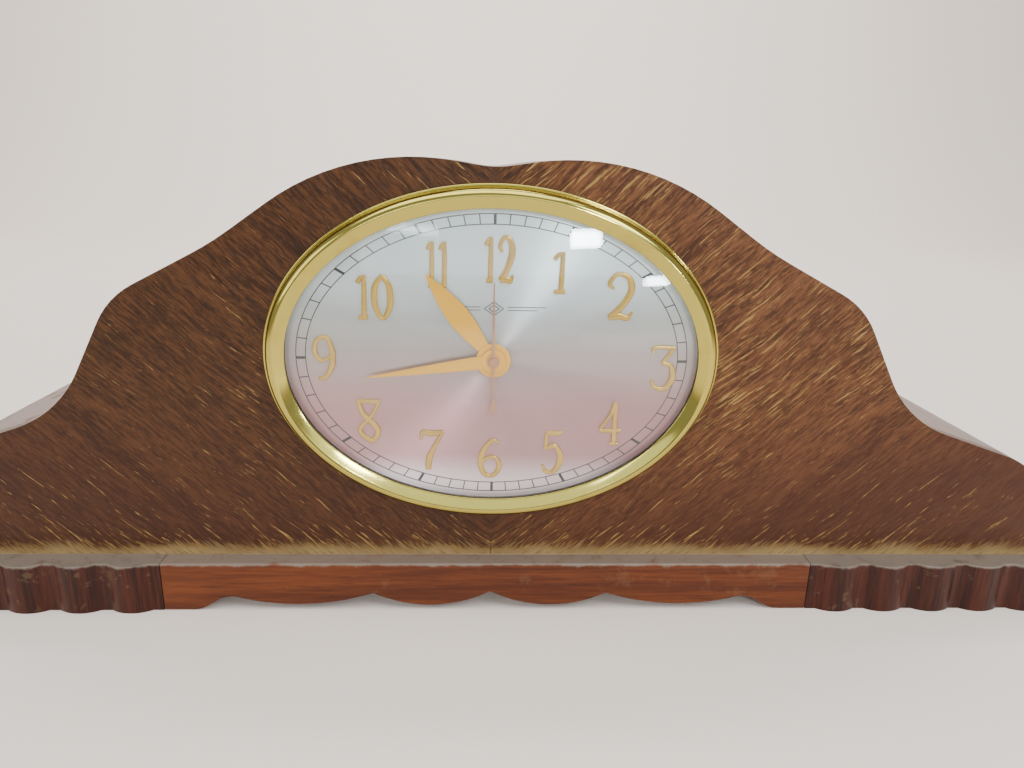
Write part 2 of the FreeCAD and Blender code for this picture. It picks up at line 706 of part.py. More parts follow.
def glass_dome(inset, base_y, rise):
    """A shallow domed cap over an ellipse, bulging to the front."""
    foot_a = BEZEL_A - inset
    foot_b = BEZEL_B - inset
    radius = (foot_a ** 2 + rise ** 2) / (2 * rise)
    ball = Part.makeSphere(radius, Vector(0, 0, 0), Vector(0, 0, 1))
    ball.translate(Vector(0, radius - rise, 0))
    reach = foot_a + CUT_OVERSHOOT
    keep = box(-reach, reach, -rise - CUT_OVERSHOOT, 0, -reach, reach)
    cap = ball.common(keep)
    squeeze = FreeCAD.Matrix()
    squeeze.scale(1.0, 1.0, foot_b / foot_a)
    cap = cap.transformGeometry(squeeze)
    cap.translate(Vector(0, base_y, DIAL_Z))
    return cap


def lens():
    """The domed glass with a flat rim held behind the bezel's lip."""
    seat = PANEL_FRONT - GLASS_SEAT
    rim = ellipse_prism(GLASS_INSET, seat, seat + GLASS_THICKNESS)
    rise = GLASS_RISE - GLASS_SEAT
    cap = glass_dome(BEZEL_BAND + GLASS_GAP, seat, rise)
    hollow = fuse([glass_dome(BEZEL_BAND + GLASS_GAP + GLASS_THICKNESS / 2, seat + GLASS_THICKNESS, rise),
                   ellipse_prism(BEZEL_BAND + GLASS_GAP + GLASS_THICKNESS / 2,
                                 seat + GLASS_THICKNESS, seat + GLASS_THICKNESS + CUT_OVERSHOOT)])
    return fuse([rim, cap]).cut(hollow)


def glass_gasket():
    """The ring that keeps the glass off the dial."""
    back = DIAL_FRONT
    front = PANEL_FRONT - GLASS_SEAT + GLASS_THICKNESS
    return ellipse_prism(GLASS_INSET, front, back).cut(ellipse_prism(BEZEL_BAND + GASKET_LAP, front, back))


def dial_plate():
    """The dial, flat on the panel's face."""
    plate = ellipse_prism(GLASS_INSET, DIAL_FRONT, PANEL_FRONT)
    return plate.cut(rod_y(DIAL_HOLE_RADIUS, DIAL_FRONT, PANEL_FRONT, 0, DIAL_Z))


NUMERAL_PLACES = [
    ("12", 2.1, 44.5, 15.0, 21.0), ("1", 28.4, 39.4, 6.0, 19.5), ("2", 55.5, 29.2, 12.0, 21.7),
    ("3", 76.6, -3.1, 11.4, 21.6), ("4", 54.2, -29.5, 11.1, 22.4), ("5", 27.9, -43.8, 10.2, 22.6),
    ("6", -0.9, -47.0, 11.2, 19.5), ("7", -27.5, -43.4, 11.5, 20.8), ("8", -56.2, -29.3, 11.7, 21.7),
    ("9", -74.8, -0.1, 10.1, 21.0), ("10", -51.9, 27.5, 18.6, 21.0), ("11", -24.7, 42.1, 13.0, 21.4),
]

# Strokes in a unit square: two points are a straight stroke and three are an arc through them.
DIGIT_STROKES = {
    "0": [((0, .5), (.5, 0), (0, -.5)), ((0, -.5), (-.5, 0), (0, .5))],
    "1": [((.2, -.5), (.2, .5)), ((.2, .5), (-.5, .28)), ((-.4, -.5), (.5, -.5))],
    "2": [((-.5, .25), (0, .5), (.5, .2)), ((.5, .2), (.25, -.2), (-.5, -.5)), ((-.5, -.5), (.5, -.5))],
    "3": [((-.5, .5), (.5, .5)), ((.5, .5), (-.05, .1)), ((-.05, .1), (.45, -.22), (-.5, -.5))],
    "4": [((.15, .5), (-.1, .1), (-.5, -.15)), ((-.5, -.15), (.5, -.15)), ((.15, .5), (.15, -.5))],
    "5": [((.5, .5), (-.3, .5)), ((-.3, .5), (-.4, .08)), ((-.4, .08), (.45, -.2), (-.5, -.5))],
    "6": [((.4, .5), (-.35, .2), (-.5, -.2)), ((-.5, -.2), (0, -.5), (.5, -.2)),
          ((.5, -.2), (0, .08), (-.5, -.2))],
    "7": [((-.5, .5), (.5, .5)), ((.5, .5), (.05, .05), (-.2, -.5))],
    "8": [((-.5, .5), (.5, .5)), ((-.5, .5), (.42, -.2)), ((.5, .5), (-.42, -.2)),
          ((-.42, -.2), (0, -.5), (.42, -.2))],
    "9": [((.5, .2), (0, -.08), (-.5, .2)), ((-.5, .2), (0, .5), (.5, .2)),
          ((.5, .2), (.35, -.2), (-.4, -.5))],
}


def stroke_face(points, width):
    """The flat ribbon along a straight stroke or an arc."""
    half = width / 2
    if len(points) == 2:
        first, last = points
        along = (last - first).normalize()
        side = Vector(-along.z, 0, along.x) * half
        corners = [first + side, last + side, last - side, first - side]
        return Part.Face(Part.makePolygon(corners + corners[:1]))
    centre = Part.Arc(*points).toShape().Curve.Center
    outer = [centre + (p - centre) * (1 + half / (p - centre).Length) for p in points]
    inner = [centre + (p - centre) * (1 - half / (p - centre).Length) for p in points]
    edges = [Part.Arc(*outer).toShape(), Part.makeLine(outer[2], inner[2]),
             Part.Arc(*inner[::-1]).toShape(), Part.makeLine(inner[0], outer[0])]
    return Part.Face(Part.Wire(edges))


def digit(symbol, x, z, width, height):
    """One raised digit on the dial."""
    solids = []
    for stroke in DIGIT_STROKES[symbol]:
        points = [Vector(x + u * (width - NUMERAL_STROKE), 0, z + v * (height - NUMERAL_STROKE))
                  for u, v in stroke]
        face = stroke_face(points, NUMERAL_STROKE)
        solids.append(face.extrude(Vector(0, -NUMERAL_RISE, 0)))
        solids += [rod_y(NUMERAL_STROKE / 2, -NUMERAL_RISE, 0, p.x, p.z) for p in (points[0], points[-1])]
    shape = fuse(solids)
    shape.translate(Vector(0, DIAL_FRONT, 0))
    return shape


def hour_numerals():
    """The twelve raised numerals."""
    digits = []
    for text, x, up, width, height in NUMERAL_PLACES:
        share = width if len(text) == 1 else width * PAIRED_DIGIT_SHARE
        narrow = [share * (NARROW_ONE_SHARE if symbol == "1" and len(text) == 2 else 1.0) for symbol in text]
        start = x - (sum(narrow) + DIGIT_GAP * (len(text) - 1)) / 2
        for symbol, digit_width in zip(text, narrow):
            digits.append(digit(symbol, start + digit_width / 2, DIAL_Z + up, digit_width, height))
            start += digit_width + DIGIT_GAP
    return Part.makeCompound(digits)


# --- hands -----------------------------------------------------------------------------------------
def turned_hand(outline, hub_radius, bore, angle, y0):
    """A flat hand drawn pointing up, with its round hub, turned clockwise to an angle."""
    blade = extrude_y(polygon(outline), y0, y0 + HAND_THICKNESS)
    blade.translate(Vector(0, 0, DIAL_Z))
    hub = rod_y(hub_radius, y0, y0 + HAND_THICKNESS, 0, DIAL_Z)
    hand = fuse([blade, hub])
    if bore:
        hand = hand.cut(rod_y(bore, y0, y0 + HAND_THICKNESS, 0, DIAL_Z))
    hand.rotate(Vector(0, 0, DIAL_Z), Vector(0, 1, 0), angle)
    return hand


def hour_hand():
    """The broad leaf-shaped hand."""
    tip = HOUR_HAND_LENGTH
    width = HOUR_HAND_HALF_WIDTH
    side = [(out * width, up * tip) for out, up in HOUR_LEAF]
    outline = side + [(0, tip)] + [(-x, z) for x, z in reversed(side)]
    return turned_hand(outline, HOUR_HUB_RADIUS, HOUR_TUBE_RADIUS, HOUR_HAND_ANGLE, HOUR_HAND_FRONT)


def minute_hand():
    """The long tapered hand."""
    tip = MINUTE_HAND_LENGTH
    width = MINUTE_HAND_HALF_WIDTH
    side = [(out * width, up * tip) for out, up in MINUTE_TAPER]
    outline = side + [(0, tip)] + [(-x, z) for x, z in reversed(side)]
    return turned_hand(outline, MINUTE_HUB_RADIUS, MINUTE_TUBE_RADIUS, MINUTE_HAND_ANGLE, MINUTE_HAND_FRONT)


def seconds_hand():
    """The thin sweep hand with its boss and tail."""
    tail = SECONDS_TAIL_LENGTH
    side = [(out, -down * tail) for out, down in reversed(SECONDS_TAIL)]
    side += [(out, up * SECONDS_HAND_LENGTH) for out, up in SECONDS_NEEDLE]
    outline = side + [(-x, z) for x, z in reversed(side)] + [(0, -tail)]
    hand = turned_hand(outline, SECONDS_HUB_RADIUS, 0, 0, SECONDS_HAND_FRONT)
    boss = rod_y(SECONDS_BOSS_RADIUS, SECONDS_HAND_FRONT - SECONDS_BOSS_RISE, SECONDS_HAND_FRONT, 0, DIAL_Z)
    return fuse([hand, boss])


def hand_nut():
    """The round nut that clamps the minute hand on its tube."""
    nut = rod_y(HAND_NUT_RADIUS, MINUTE_TUBE_FRONT, MINUTE_HAND_FRONT, 0, DIAL_Z)
    return nut.cut(rod_y(MINUTE_TUBE_RADIUS, MINUTE_TUBE_FRONT, MINUTE_HAND_FRONT, 0, DIAL_Z))


# --- motion work, in front of the movement's front plate -------------------------------------------
MOTION_CENTRES = gear_centres(CANNON_TEETH, MINUTE_WHEEL_TEETH, MOTION_MODULE)
HOUR_MODULE = 2 * MOTION_CENTRES / (MINUTE_PINION_TEETH + HOUR_WHEEL_TEETH)
MINUTE_POST_Z = DIAL_Z - MOTION_CENTRES
SET_SHAFT_Z = DIAL_Z - 2 * MOTION_CENTRES
MINUTE_WHEEL_BACK = FRONT_PLATE - MOTION_STANDOFF
MINUTE_WHEEL_FRONT = MINUTE_WHEEL_BACK - WHEEL_THICKNESS
HOUR_WHEEL_BACK = MINUTE_WHEEL_FRONT - MOTION_GAP
HOUR_WHEEL_FRONT = HOUR_WHEEL_BACK - WHEEL_THICKNESS
CANNON_PHASE = 0.0
MINUTE_WHEEL_PHASE = mesh_phase(CANNON_TEETH, CANNON_PHASE, MINUTE_WHEEL_TEETH, -90.0)
SET_PINION_PHASE = mesh_phase(MINUTE_WHEEL_TEETH, MINUTE_WHEEL_PHASE, CANNON_TEETH, -90.0)
HOUR_WHEEL_PHASE = mesh_phase(MINUTE_PINION_TEETH, 0.0, HOUR_WHEEL_TEETH, 90.0)
TUBE_COLLAR = FRONT_PLATE_BACK + COLLAR_STANDOFF


def hour_wheel():
    """The hour wheel on the tube that carries the hour hand."""
    wheel = gear(HOUR_WHEEL_TEETH, HOUR_MODULE, HOUR_WHEEL_PHASE, 0, DIAL_Z, HOUR_WHEEL_FRONT, HOUR_WHEEL_BACK)
    tube = rod_y(HOUR_TUBE_RADIUS, HOUR_HAND_FRONT, HOUR_WHEEL_BACK, 0, DIAL_Z)
    bore = rod_y(MINUTE_TUBE_RADIUS + RUN_FIT, HOUR_HAND_FRONT, HOUR_WHEEL_BACK, 0, DIAL_Z)
    return fuse([wheel, tube]).cut(bore)


def cannon_pinion():
    """The tube that carries the minute hand, with its pinion and the collar of the clutch."""
    pinion = gear(CANNON_TEETH, MOTION_MODULE, CANNON_PHASE, 0, DIAL_Z,
                  MINUTE_WHEEL_FRONT - PINION_OVERHANG, MINUTE_WHEEL_BACK + PINION_OVERHANG)
    tube = rod_y(MINUTE_TUBE_RADIUS, MINUTE_TUBE_FRONT, TUBE_COLLAR + COLLAR_THICKNESS, 0, DIAL_Z)
    collar = rod_y(COLLAR_RADIUS, TUBE_COLLAR, TUBE_COLLAR + COLLAR_THICKNESS, 0, DIAL_Z)
    bore = rod_y(MINUTE_TUBE_BORE, MINUTE_TUBE_FRONT, TUBE_COLLAR + COLLAR_THICKNESS, 0, DIAL_Z)
    return fuse([pinion, tube, collar]).cut(bore)


def minute_wheel():
    """The minute wheel and its pinion, loose on a post."""
    wheel = gear(MINUTE_WHEEL_TEETH, MOTION_MODULE, MINUTE_WHEEL_PHASE, 0, MINUTE_POST_Z,
                 MINUTE_WHEEL_FRONT, MINUTE_WHEEL_BACK)
    pinion = gear(MINUTE_PINION_TEETH, HOUR_MODULE, 0.0, 0, MINUTE_POST_Z,
                  HOUR_WHEEL_FRONT - MINUTE_PINION_OVERHANG, MINUTE_WHEEL_FRONT)
    bore = rod_y(ARBOR_RADIUS + RUN_FIT, HOUR_WHEEL_FRONT - CUT_OVERSHOOT, MINUTE_WHEEL_BACK, 0, MINUTE_POST_Z)
    return fuse([wheel, pinion]).cut(bore)


def minute_wheel_post():
    """The fixed post under the minute wheel."""
    post = rod_y(ARBOR_RADIUS, HOUR_WHEEL_FRONT - MINUTE_POST_TIP, FRONT_PLATE, 0, MINUTE_POST_Z)
    foot = rod_y(2 * ARBOR_RADIUS, FRONT_PLATE - MINUTE_POST_FOOT, FRONT_PLATE, 0, MINUTE_POST_Z)
    return fuse([post, foot])


def set_shaft():
    """The long shaft that turns the hands from the back."""
    pinion = gear(CANNON_TEETH, MOTION_MODULE, SET_PINION_PHASE, 0, SET_SHAFT_Z,
                  MINUTE_WHEEL_FRONT - PINION_OVERHANG, MINUTE_WHEEL_BACK + PINION_OVERHANG)
    shaft = rod_y(SET_SHAFT_RADIUS, MINUTE_WHEEL_FRONT - PINION_OVERHANG, REAR - SET_KNOB_LENGTH / 2,
                  0, SET_SHAFT_Z)
    return fuse([pinion, shaft])


def set_knob():
    """The scalloped knob on the setting shaft."""
    front = REAR - SET_KNOB_LENGTH
    knob = rod_y(SET_KNOB_RADIUS, front, REAR, 0, SET_SHAFT_Z)
    circle = SET_KNOB_RADIUS + KNOB_FLUTE_STANDOFF
    cuts = [rod_y(KNOB_FLUTE_RADIUS, front, REAR, *polar(0, SET_SHAFT_Z, circle, 360.0 * index / KNOB_FLUTES))
            for index in range(KNOB_FLUTES)]
    cuts.append(rod_y(SET_SHAFT_RADIUS, front, REAR - SET_KNOB_LENGTH / 2, 0, SET_SHAFT_Z))
    return knob.cut(fuse_apart(cuts))


# --- movement frame --------------------------------------------------------------------------------
ROTOR_CENTRES = gear_centres(SECONDS_WHEEL_TEETH, ROTOR_PINION_TEETH, TRAIN_MODULE)
ROTOR_X, ROTOR_Z = polar(0, DIAL_Z, ROTOR_CENTRES, ROTOR_BEARING)
INTERMEDIATE_CENTRES = gear_centres(SECONDS_PINION_TEETH, INTERMEDIATE_TEETH, TRAIN_MODULE)
INTERMEDIATE_X, INTERMEDIATE_Z = polar(0, DIAL_Z, INTERMEDIATE_CENTRES, INTERMEDIATE_BEARING)
CENTRE_MODULE = 2 * INTERMEDIATE_CENTRES / (INTERMEDIATE_PINION_TEETH + CENTRE_WHEEL_TEETH)
CHIME_CENTRES = gear_centres(DRUM_WHEEL_TEETH, CHIME_PINION_TEETH, TRAIN_MODULE)
CHIME_PINION_X, CHIME_PINION_Z = polar(DRUM_X, DRUM_Z, CHIME_CENTRES, CHIME_BEARING)
CENTRE_WHEEL_FRONT = FRONT_PLATE_BACK + CENTRE_STANDOFF
INTERMEDIATE_FRONT = FRONT_PLATE_BACK + INTERMEDIATE_STANDOFF
SECONDS_WHEEL_FRONT = FRONT_PLATE_BACK + SECONDS_STANDOFF
ROTOR_FRONT = BACK_PLATE_BACK + CAN_WALL + CAN_GAP
CAN_BACK = ROTOR_FRONT + ROTOR_LENGTH + CAN_GAP
CAN_RADIUS = ROTOR_RADIUS + CAN_GAP + CAN_WALL
YOKE_FRONT = ROTOR_FRONT + (ROTOR_LENGTH - YOKE_THICKNESS) / 2
WINDOW_LOW = ROTOR_Z + CAN_RADIUS + YOKE_LEG / 2
WINDOW_HIGH = WINDOW_LOW + COIL_BUILD + COIL_GAP
LEG_TOP = WINDOW_HIGH + YOKE_LEG
BACK_PLATE_LEFT = HAMMER_X - BRACKET_MARGIN
BRACKET_LOW = HAMMER_Z - BRACKET_MARGIN
BRACKET_HIGH = DRUM_Z + DRUM_RADIUS + BRACKET_HEAD
CHIME_PILLARS = [(HAMMER_X + UPPER_PILLAR[0], BRACKET_HIGH + UPPER_PILLAR[1]),
                 (DRUM_X + LOWER_PILLAR[0], BRACKET_LOW + LOWER_PILLAR[1])]


def movement_screw(x, z, gap, tip):
    """A countersunk screw from the panel's face, widened all round by a gap."""
    shank = rod_y(SCREW_RADIUS + gap, PANEL_FRONT, tip, x, z)
    head = Part.makeCone(SCREW_HEAD_RADIUS + gap, SCREW_RADIUS + gap, SCREW_RADIUS,
                         Vector(x, PANEL_FRONT, z), Vector(0, 1, 0))
    return fuse([shank, head])


def mounting_screws():
    """The screws that hold the movement to the panel."""
    return Part.makeCompound([movement_screw(x, z, 0.0, FRONT_PLATE) for x, z in pillar_places()])


def mounting_posts():
    """Standoffs between the panel and the movement."""
    posts = [rod_y(POST_RADIUS, PANEL_BACK, FRONT_PLATE, x, z) for x, z in pillar_places()]
    holes = [rod_y(SCREW_RADIUS, PANEL_BACK, FRONT_PLATE, x, z) for x, z in pillar_places()]
    return Part.makeCompound(posts).cut(fuse_apart(holes))


def movement_plate_front():
    """The plate nearest the dial."""
    low = DIAL_Z - PLATE_BELOW
    plate = box(-PLATE_HALF_WIDTH, PLATE_HALF_WIDTH, FRONT_PLATE, FRONT_PLATE_BACK, low, DIAL_Z + PLATE_ABOVE)
    holes = [(MINUTE_TUBE_RADIUS + RUN_FIT, 0, DIAL_Z), (SET_SHAFT_RADIUS + RUN_FIT, 0, SET_SHAFT_Z),
             (PIVOT_RADIUS + RUN_FIT, INTERMEDIATE_X, INTERMEDIATE_Z),
             (PIVOT_RADIUS + RUN_FIT, CHIME_PINION_X, CHIME_PINION_Z)]
    return plate.cut(fuse_apart([rod_y(r, FRONT_PLATE, FRONT_PLATE_BACK, x, z) for r, x, z in holes]))


def movement_plate_back():
    """The rear plate, widened at its lower left to carry the chime."""
    main = box(-PLATE_HALF_WIDTH, PLATE_HALF_WIDTH, BACK_PLATE, BACK_PLATE_BACK,
               DIAL_Z - PLATE_BELOW, DIAL_Z + PLATE_ABOVE)
    wing = box(BACK_PLATE_LEFT, DRUM_X + BRACKET_RIGHT, BACK_PLATE, BACK_PLATE_BACK, BRACKET_LOW, BRACKET_HIGH)
    holes = [(SECONDS_ARBOR_RADIUS + RUN_FIT, 0, DIAL_Z), (SET_SHAFT_RADIUS + RUN_FIT, 0, SET_SHAFT_Z),
             (PIVOT_RADIUS + RUN_FIT, INTERMEDIATE_X, INTERMEDIATE_Z),
             (ARBOR_RADIUS + RUN_FIT, CHIME_PINION_X, CHIME_PINION_Z),
             (ARBOR_RADIUS + RUN_FIT, ROTOR_X, ROTOR_Z), (ARBOR_RADIUS + RUN_FIT, DRUM_X, DRUM_Z)]
    cuts = [rod_y(r, BACK_PLATE, BACK_PLATE_BACK, x, z) for r, x, z in holes]
    return fuse([main, wing]).cut(fuse_apart(cuts))


def movement_pillars():
    """The four bars between the plates."""
    return Part.makeCompound([rod_y(PILLAR_RADIUS, FRONT_PLATE_BACK, BACK_PLATE, x, z)
                              for x, z in pillar_places()])


# --- time train ------------------------------------------------------------------------------------
SECONDS_PHASE = 0.0
ROTOR_PHASE = mesh_phase(SECONDS_WHEEL_TEETH, SECONDS_PHASE, ROTOR_PINION_TEETH, ROTOR_BEARING)
INTERMEDIATE_PHASE = mesh_phase(SECONDS_PINION_TEETH, SECONDS_PHASE, INTERMEDIATE_TEETH, INTERMEDIATE_BEARING)
CENTRE_PHASE = mesh_phase(INTERMEDIATE_PINION_TEETH, 0.0, CENTRE_WHEEL_TEETH, INTERMEDIATE_BEARING + 180.0)


def seconds_arbor():
    """The sweep seconds arbor with its wheel and pinion."""
    pinion_front = INTERMEDIATE_FRONT - SECONDS_PINION_LEAD
    arbor = rod_y(SECONDS_ARBOR_RADIUS, SECONDS_HAND_FRONT + HAND_THICKNESS, BACK_PLATE_BACK, 0, DIAL_Z)
    wheel = gear(SECONDS_WHEEL_TEETH, TRAIN_MODULE, SECONDS_PHASE, 0, DIAL_Z,
                 SECONDS_WHEEL_FRONT, SECONDS_WHEEL_FRONT + WHEEL_THICKNESS)
    pinion = gear(SECONDS_PINION_TEETH, TRAIN_MODULE, SECONDS_PHASE, 0, DIAL_Z,
                  pinion_front, pinion_front + PINION_LENGTH)
    return fuse([arbor, wheel, pinion])


def motor_rotor():
    """The magnet rotor with its shaft and pinion."""
    pinion_front = SECONDS_WHEEL_FRONT - (PINION_LENGTH - WHEEL_THICKNESS) / 2
    magnet = rod_y(ROTOR_RADIUS, ROTOR_FRONT, ROTOR_FRONT + ROTOR_LENGTH, ROTOR_X, ROTOR_Z)
    shaft = rod_y(ARBOR_RADIUS, pinion_front - ROTOR_SHAFT_LEAD, CAN_BACK + CAN_WALL, ROTOR_X, ROTOR_Z)
    pinion = gear(ROTOR_PINION_TEETH, TRAIN_MODULE, ROTOR_PHASE, ROTOR_X, ROTOR_Z,
                  pinion_front, pinion_front + PINION_LENGTH)
    return fuse([magnet, shaft, pinion])


def motor_can():
    """The cup that houses the rotor, open to the back."""
    can = rod_y(CAN_RADIUS, BACK_PLATE_BACK, CAN_BACK, ROTOR_X, ROTOR_Z)
    cavity = rod_y(CAN_RADIUS - CAN_WALL, BACK_PLATE_BACK + CAN_WALL, CAN_BACK, ROTOR_X, ROTOR_Z)
    bearing = rod_y(ARBOR_RADIUS + RUN_FIT, BACK_PLATE_BACK, CAN_BACK, ROTOR_X, ROTOR_Z)
    return can.cut(cavity).cut(bearing)


def motor_cap():
    """The lid of the can with the rotor's rear bearing."""
    cap = rod_y(CAN_RADIUS + CAP_RIM, CAN_BACK, CAN_BACK + CAN_WALL, ROTOR_X, ROTOR_Z)
    return cap.cut(rod_y(ARBOR_RADIUS + RUN_FIT, CAN_BACK, CAN_BACK + CAN_WALL, ROTOR_X, ROTOR_Z))


def motor_yoke():
    """The laminated field around the can, with a window for the coil."""
    half = CAN_RADIUS + YOKE_LEG
    back = YOKE_FRONT + YOKE_THICKNESS
    core = box(ROTOR_X - half, ROTOR_X + half, YOKE_FRONT, back, ROTOR_Z - CAN_RADIUS - YOKE_LEG / 2, LEG_TOP)
    opening = COIL_HALF_LENGTH + COIL_GAP
    window = box(ROTOR_X - opening, ROTOR_X + opening, YOKE_FRONT, back, WINDOW_LOW, WINDOW_HIGH)
    return core.cut(window).cut(rod_y(CAN_RADIUS, YOKE_FRONT, back, ROTOR_X, ROTOR_Z))


def motor_coil():
    """The winding around the field's upper leg."""
    x0 = ROTOR_X - COIL_HALF_LENGTH
    x1 = ROTOR_X + COIL_HALF_LENGTH
    y0 = YOKE_FRONT
    y1 = YOKE_FRONT + YOKE_THICKNESS
    winding = box(x0, x1, y0 - COIL_BUILD, y1 + COIL_BUILD, WINDOW_HIGH - COIL_BUILD, LEG_TOP + COIL_BUILD)
    lengthwise = [edge for edge in winding.Edges if abs(edge.tangentAt(0).x) > 0.9]
    winding = winding.makeFillet(COIL_BUILD / 2, lengthwise)
    return winding.cut(box(x0, x1, y0, y1, WINDOW_HIGH, LEG_TOP))


def intermediate_wheel():
    """The wheel, pinion and arbor between the seconds and the centre wheel."""
    x = INTERMEDIATE_X
    z = INTERMEDIATE_Z
    pinion_front = CENTRE_WHEEL_FRONT - INTERMEDIATE_PINION_LEAD
    arbor = rod_y(ARBOR_RADIUS, FRONT_PLATE_BACK + ARBOR_END_GAP, BACK_PLATE - ARBOR_END_GAP, x, z)
    pivot = rod_y(PIVOT_RADIUS, FRONT_PLATE, BACK_PLATE_BACK, x, z)
    wheel = gear(INTERMEDIATE_TEETH, TRAIN_MODULE, INTERMEDIATE_PHASE, x, z,
                 INTERMEDIATE_FRONT, INTERMEDIATE_FRONT + WHEEL_THICKNESS)
    pinion = gear(INTERMEDIATE_PINION_TEETH, CENTRE_MODULE, 0.0, x, z,
                  pinion_front, pinion_front + PINION_LENGTH)
    return fuse([arbor, pivot, wheel, pinion])


def centre_wheel():
    """The wheel that turns once an hour, loose on the minute tube."""
    wheel = gear(CENTRE_WHEEL_TEETH, CENTRE_MODULE, CENTRE_PHASE, 0, DIAL_Z,
                 CENTRE_WHEEL_FRONT, CENTRE_WHEEL_FRONT + WHEEL_THICKNESS)
    holes = [rod_y(WEB_HOLE_RADIUS, CENTRE_WHEEL_FRONT, CENTRE_WHEEL_FRONT + WHEEL_THICKNESS,
                   *polar(0, DIAL_Z, WEB_HOLE_CIRCLE, 360.0 * index / WEB_HOLES)) for index in range(WEB_HOLES)]
    holes.append(rod_y(MINUTE_TUBE_RADIUS + RUN_FIT, CENTRE_WHEEL_FRONT, TUBE_COLLAR, 0, DIAL_Z))
    return wheel.cut(fuse_apart(holes))


def clutch_spring():
    """The dished washer that lets the hands be set while the train stands."""
    front = CENTRE_WHEEL_FRONT + WHEEL_THICKNESS
    back = TUBE_COLLAR - CLUTCH_GAP
    foot = Vector(0, front, DIAL_Z)
    axis = Vector(0, 1, 0)
    cone = Part.makeCone(CLUTCH_FOOT_RADIUS, CLUTCH_TIP_RADIUS, back - front, foot, axis)
    hollow = Part.makeCone(CLUTCH_FOOT_RADIUS - CLUTCH_WALL, CLUTCH_TIP_RADIUS - CLUTCH_WALL, back - front,
                           foot, axis)
    return cone.cut(hollow)


# --- chime -----------------------------------------------------------------------------------------
ROD_FRONT_Y = BACK_PLATE_BACK + ROD_STANDOFF
ROD_PLACES = [ROD_FRONT_Y + index * ROD_PITCH for index in range(ROD_COUNT)]
HEAD_X = HAMMER_X + HAMMER_ARM[0]
HEAD_BOTTOM = HAMMER_Z + HAMMER_ARM[1] - HAMMER_HEAD_LENGTH
ROD_Z = HEAD_BOTTOM - STRIKE_GAP - ROD_RADIUS
CHIME_WHEEL_FRONT = BACK_PLATE_BACK + CHIME_WHEEL_STANDOFF
DRUM_WHEEL_PHASE = mesh_phase(CHIME_PINION_TEETH, 0.0, DRUM_WHEEL_TEETH, CHIME_BEARING + 180.0)


def chime_drum():
    """The pinned barrel that trips the hammers."""
    pieces = [rod_y(DRUM_RADIUS, ROD_PLACES[0] - DRUM_MARGIN, ROD_PLACES[-1] + DRUM_MARGIN, DRUM_X, DRUM_Z),
              rod_y(ARBOR_RADIUS, BACK_PLATE, CHIME_BRACKET + PLATE_THICKNESS, DRUM_X, DRUM_Z)]
    for index, y in enumerate(ROD_PLACES):
        for turn in range(PINS_ROUND):
            step = (index * (turn + 2)) % ROD_COUNT
            angle = math.radians(PIN_START_ANGLE + 360.0 * turn / PINS_ROUND + PIN_STEP_ANGLE * step)
            across = Vector(math.cos(angle), 0, math.sin(angle))
            pieces.append(Part.makeCylinder(DRUM_PIN_RADIUS, DRUM_RADIUS / 2 + DRUM_PIN_RISE,
                                            Vector(DRUM_X, y, DRUM_Z) + across * (DRUM_RADIUS / 2), across))
    return fuse(pieces)


def drum_wheel():
    """The wheel that drives the drum."""
    back = CHIME_WHEEL_FRONT + WHEEL_THICKNESS
    wheel = gear(DRUM_WHEEL_TEETH, TRAIN_MODULE, DRUM_WHEEL_PHASE, DRUM_X, DRUM_Z, CHIME_WHEEL_FRONT, back)
    return wheel.cut(rod_y(ARBOR_RADIUS, CHIME_WHEEL_FRONT, back, DRUM_X, DRUM_Z))


def chime_pinion():
    """The shaft that brings the chime train's drive to the drum wheel."""
    x = CHIME_PINION_X
    z = CHIME_PINION_Z
    root = FRONT_PLATE_BACK + ARBOR_END_GAP
    pinion_front = CHIME_WHEEL_FRONT - CHIME_PINION_LEAD
    shaft = rod_y(ARBOR_RADIUS, root, CHIME_WHEEL_FRONT + PINION_LENGTH, x, z)
    pivot = rod_y(PIVOT_RADIUS, FRONT_PLATE, root, x, z)
    pinion = gear(CHIME_PINION_TEETH, TRAIN_MODULE, 0.0, x, z, pinion_front, pinion_front + PINION_LENGTH)
    return fuse([shaft, pivot, pinion])


def chime_hammer(y):
    """One sprung hammer: hub, arm, tail and head over its rod."""
    half = HAMMER_WIDTH / 2
    hub = rod_y(HAMMER_HUB_RADIUS, y - half, y + half, HAMMER_X, HAMMER_Z)
    head_top = HEAD_BOTTOM + HAMMER_HEAD_LENGTH
    arm = extrude_y(polygon([
        (HAMMER_X, HAMMER_Z - HAMMER_ARM_ROOT), (HAMMER_X, HAMMER_Z + HAMMER_ARM_ROOT),
        (HEAD_X, head_top + HAMMER_ARM_END), (HEAD_X, head_top - HAMMER_ARM_END)]), y - half, y + half)
    tail = extrude_y(polygon([
        (HAMMER_X, HAMMER_Z - HAMMER_TAIL_ROOT), (HAMMER_X, HAMMER_Z + HAMMER_TAIL_ROOT),
        (HAMMER_X + HAMMER_TAIL, HAMMER_Z + HAMMER_TAIL_TOP),
        (HAMMER_X + HAMMER_TAIL, HAMMER_Z + HAMMER_TAIL_BOTTOM)]), y - half, y + half)
    head = rod_z(HAMMER_HEAD_RADIUS, HEAD_BOTTOM, head_top, HEAD_X, y)
    bore = rod_y(ARBOR_RADIUS + RUN_FIT, y - half, y + half, HAMMER_X, HAMMER_Z)
    return fuse([hub, arm, tail, head]).cut(bore)


def hammer_arbor():
    """The fixed bar that the hammers swing on."""
    return rod_y(ARBOR_RADIUS, BACK_PLATE_BACK, CHIME_BRACKET, HAMMER_X, HAMMER_Z)


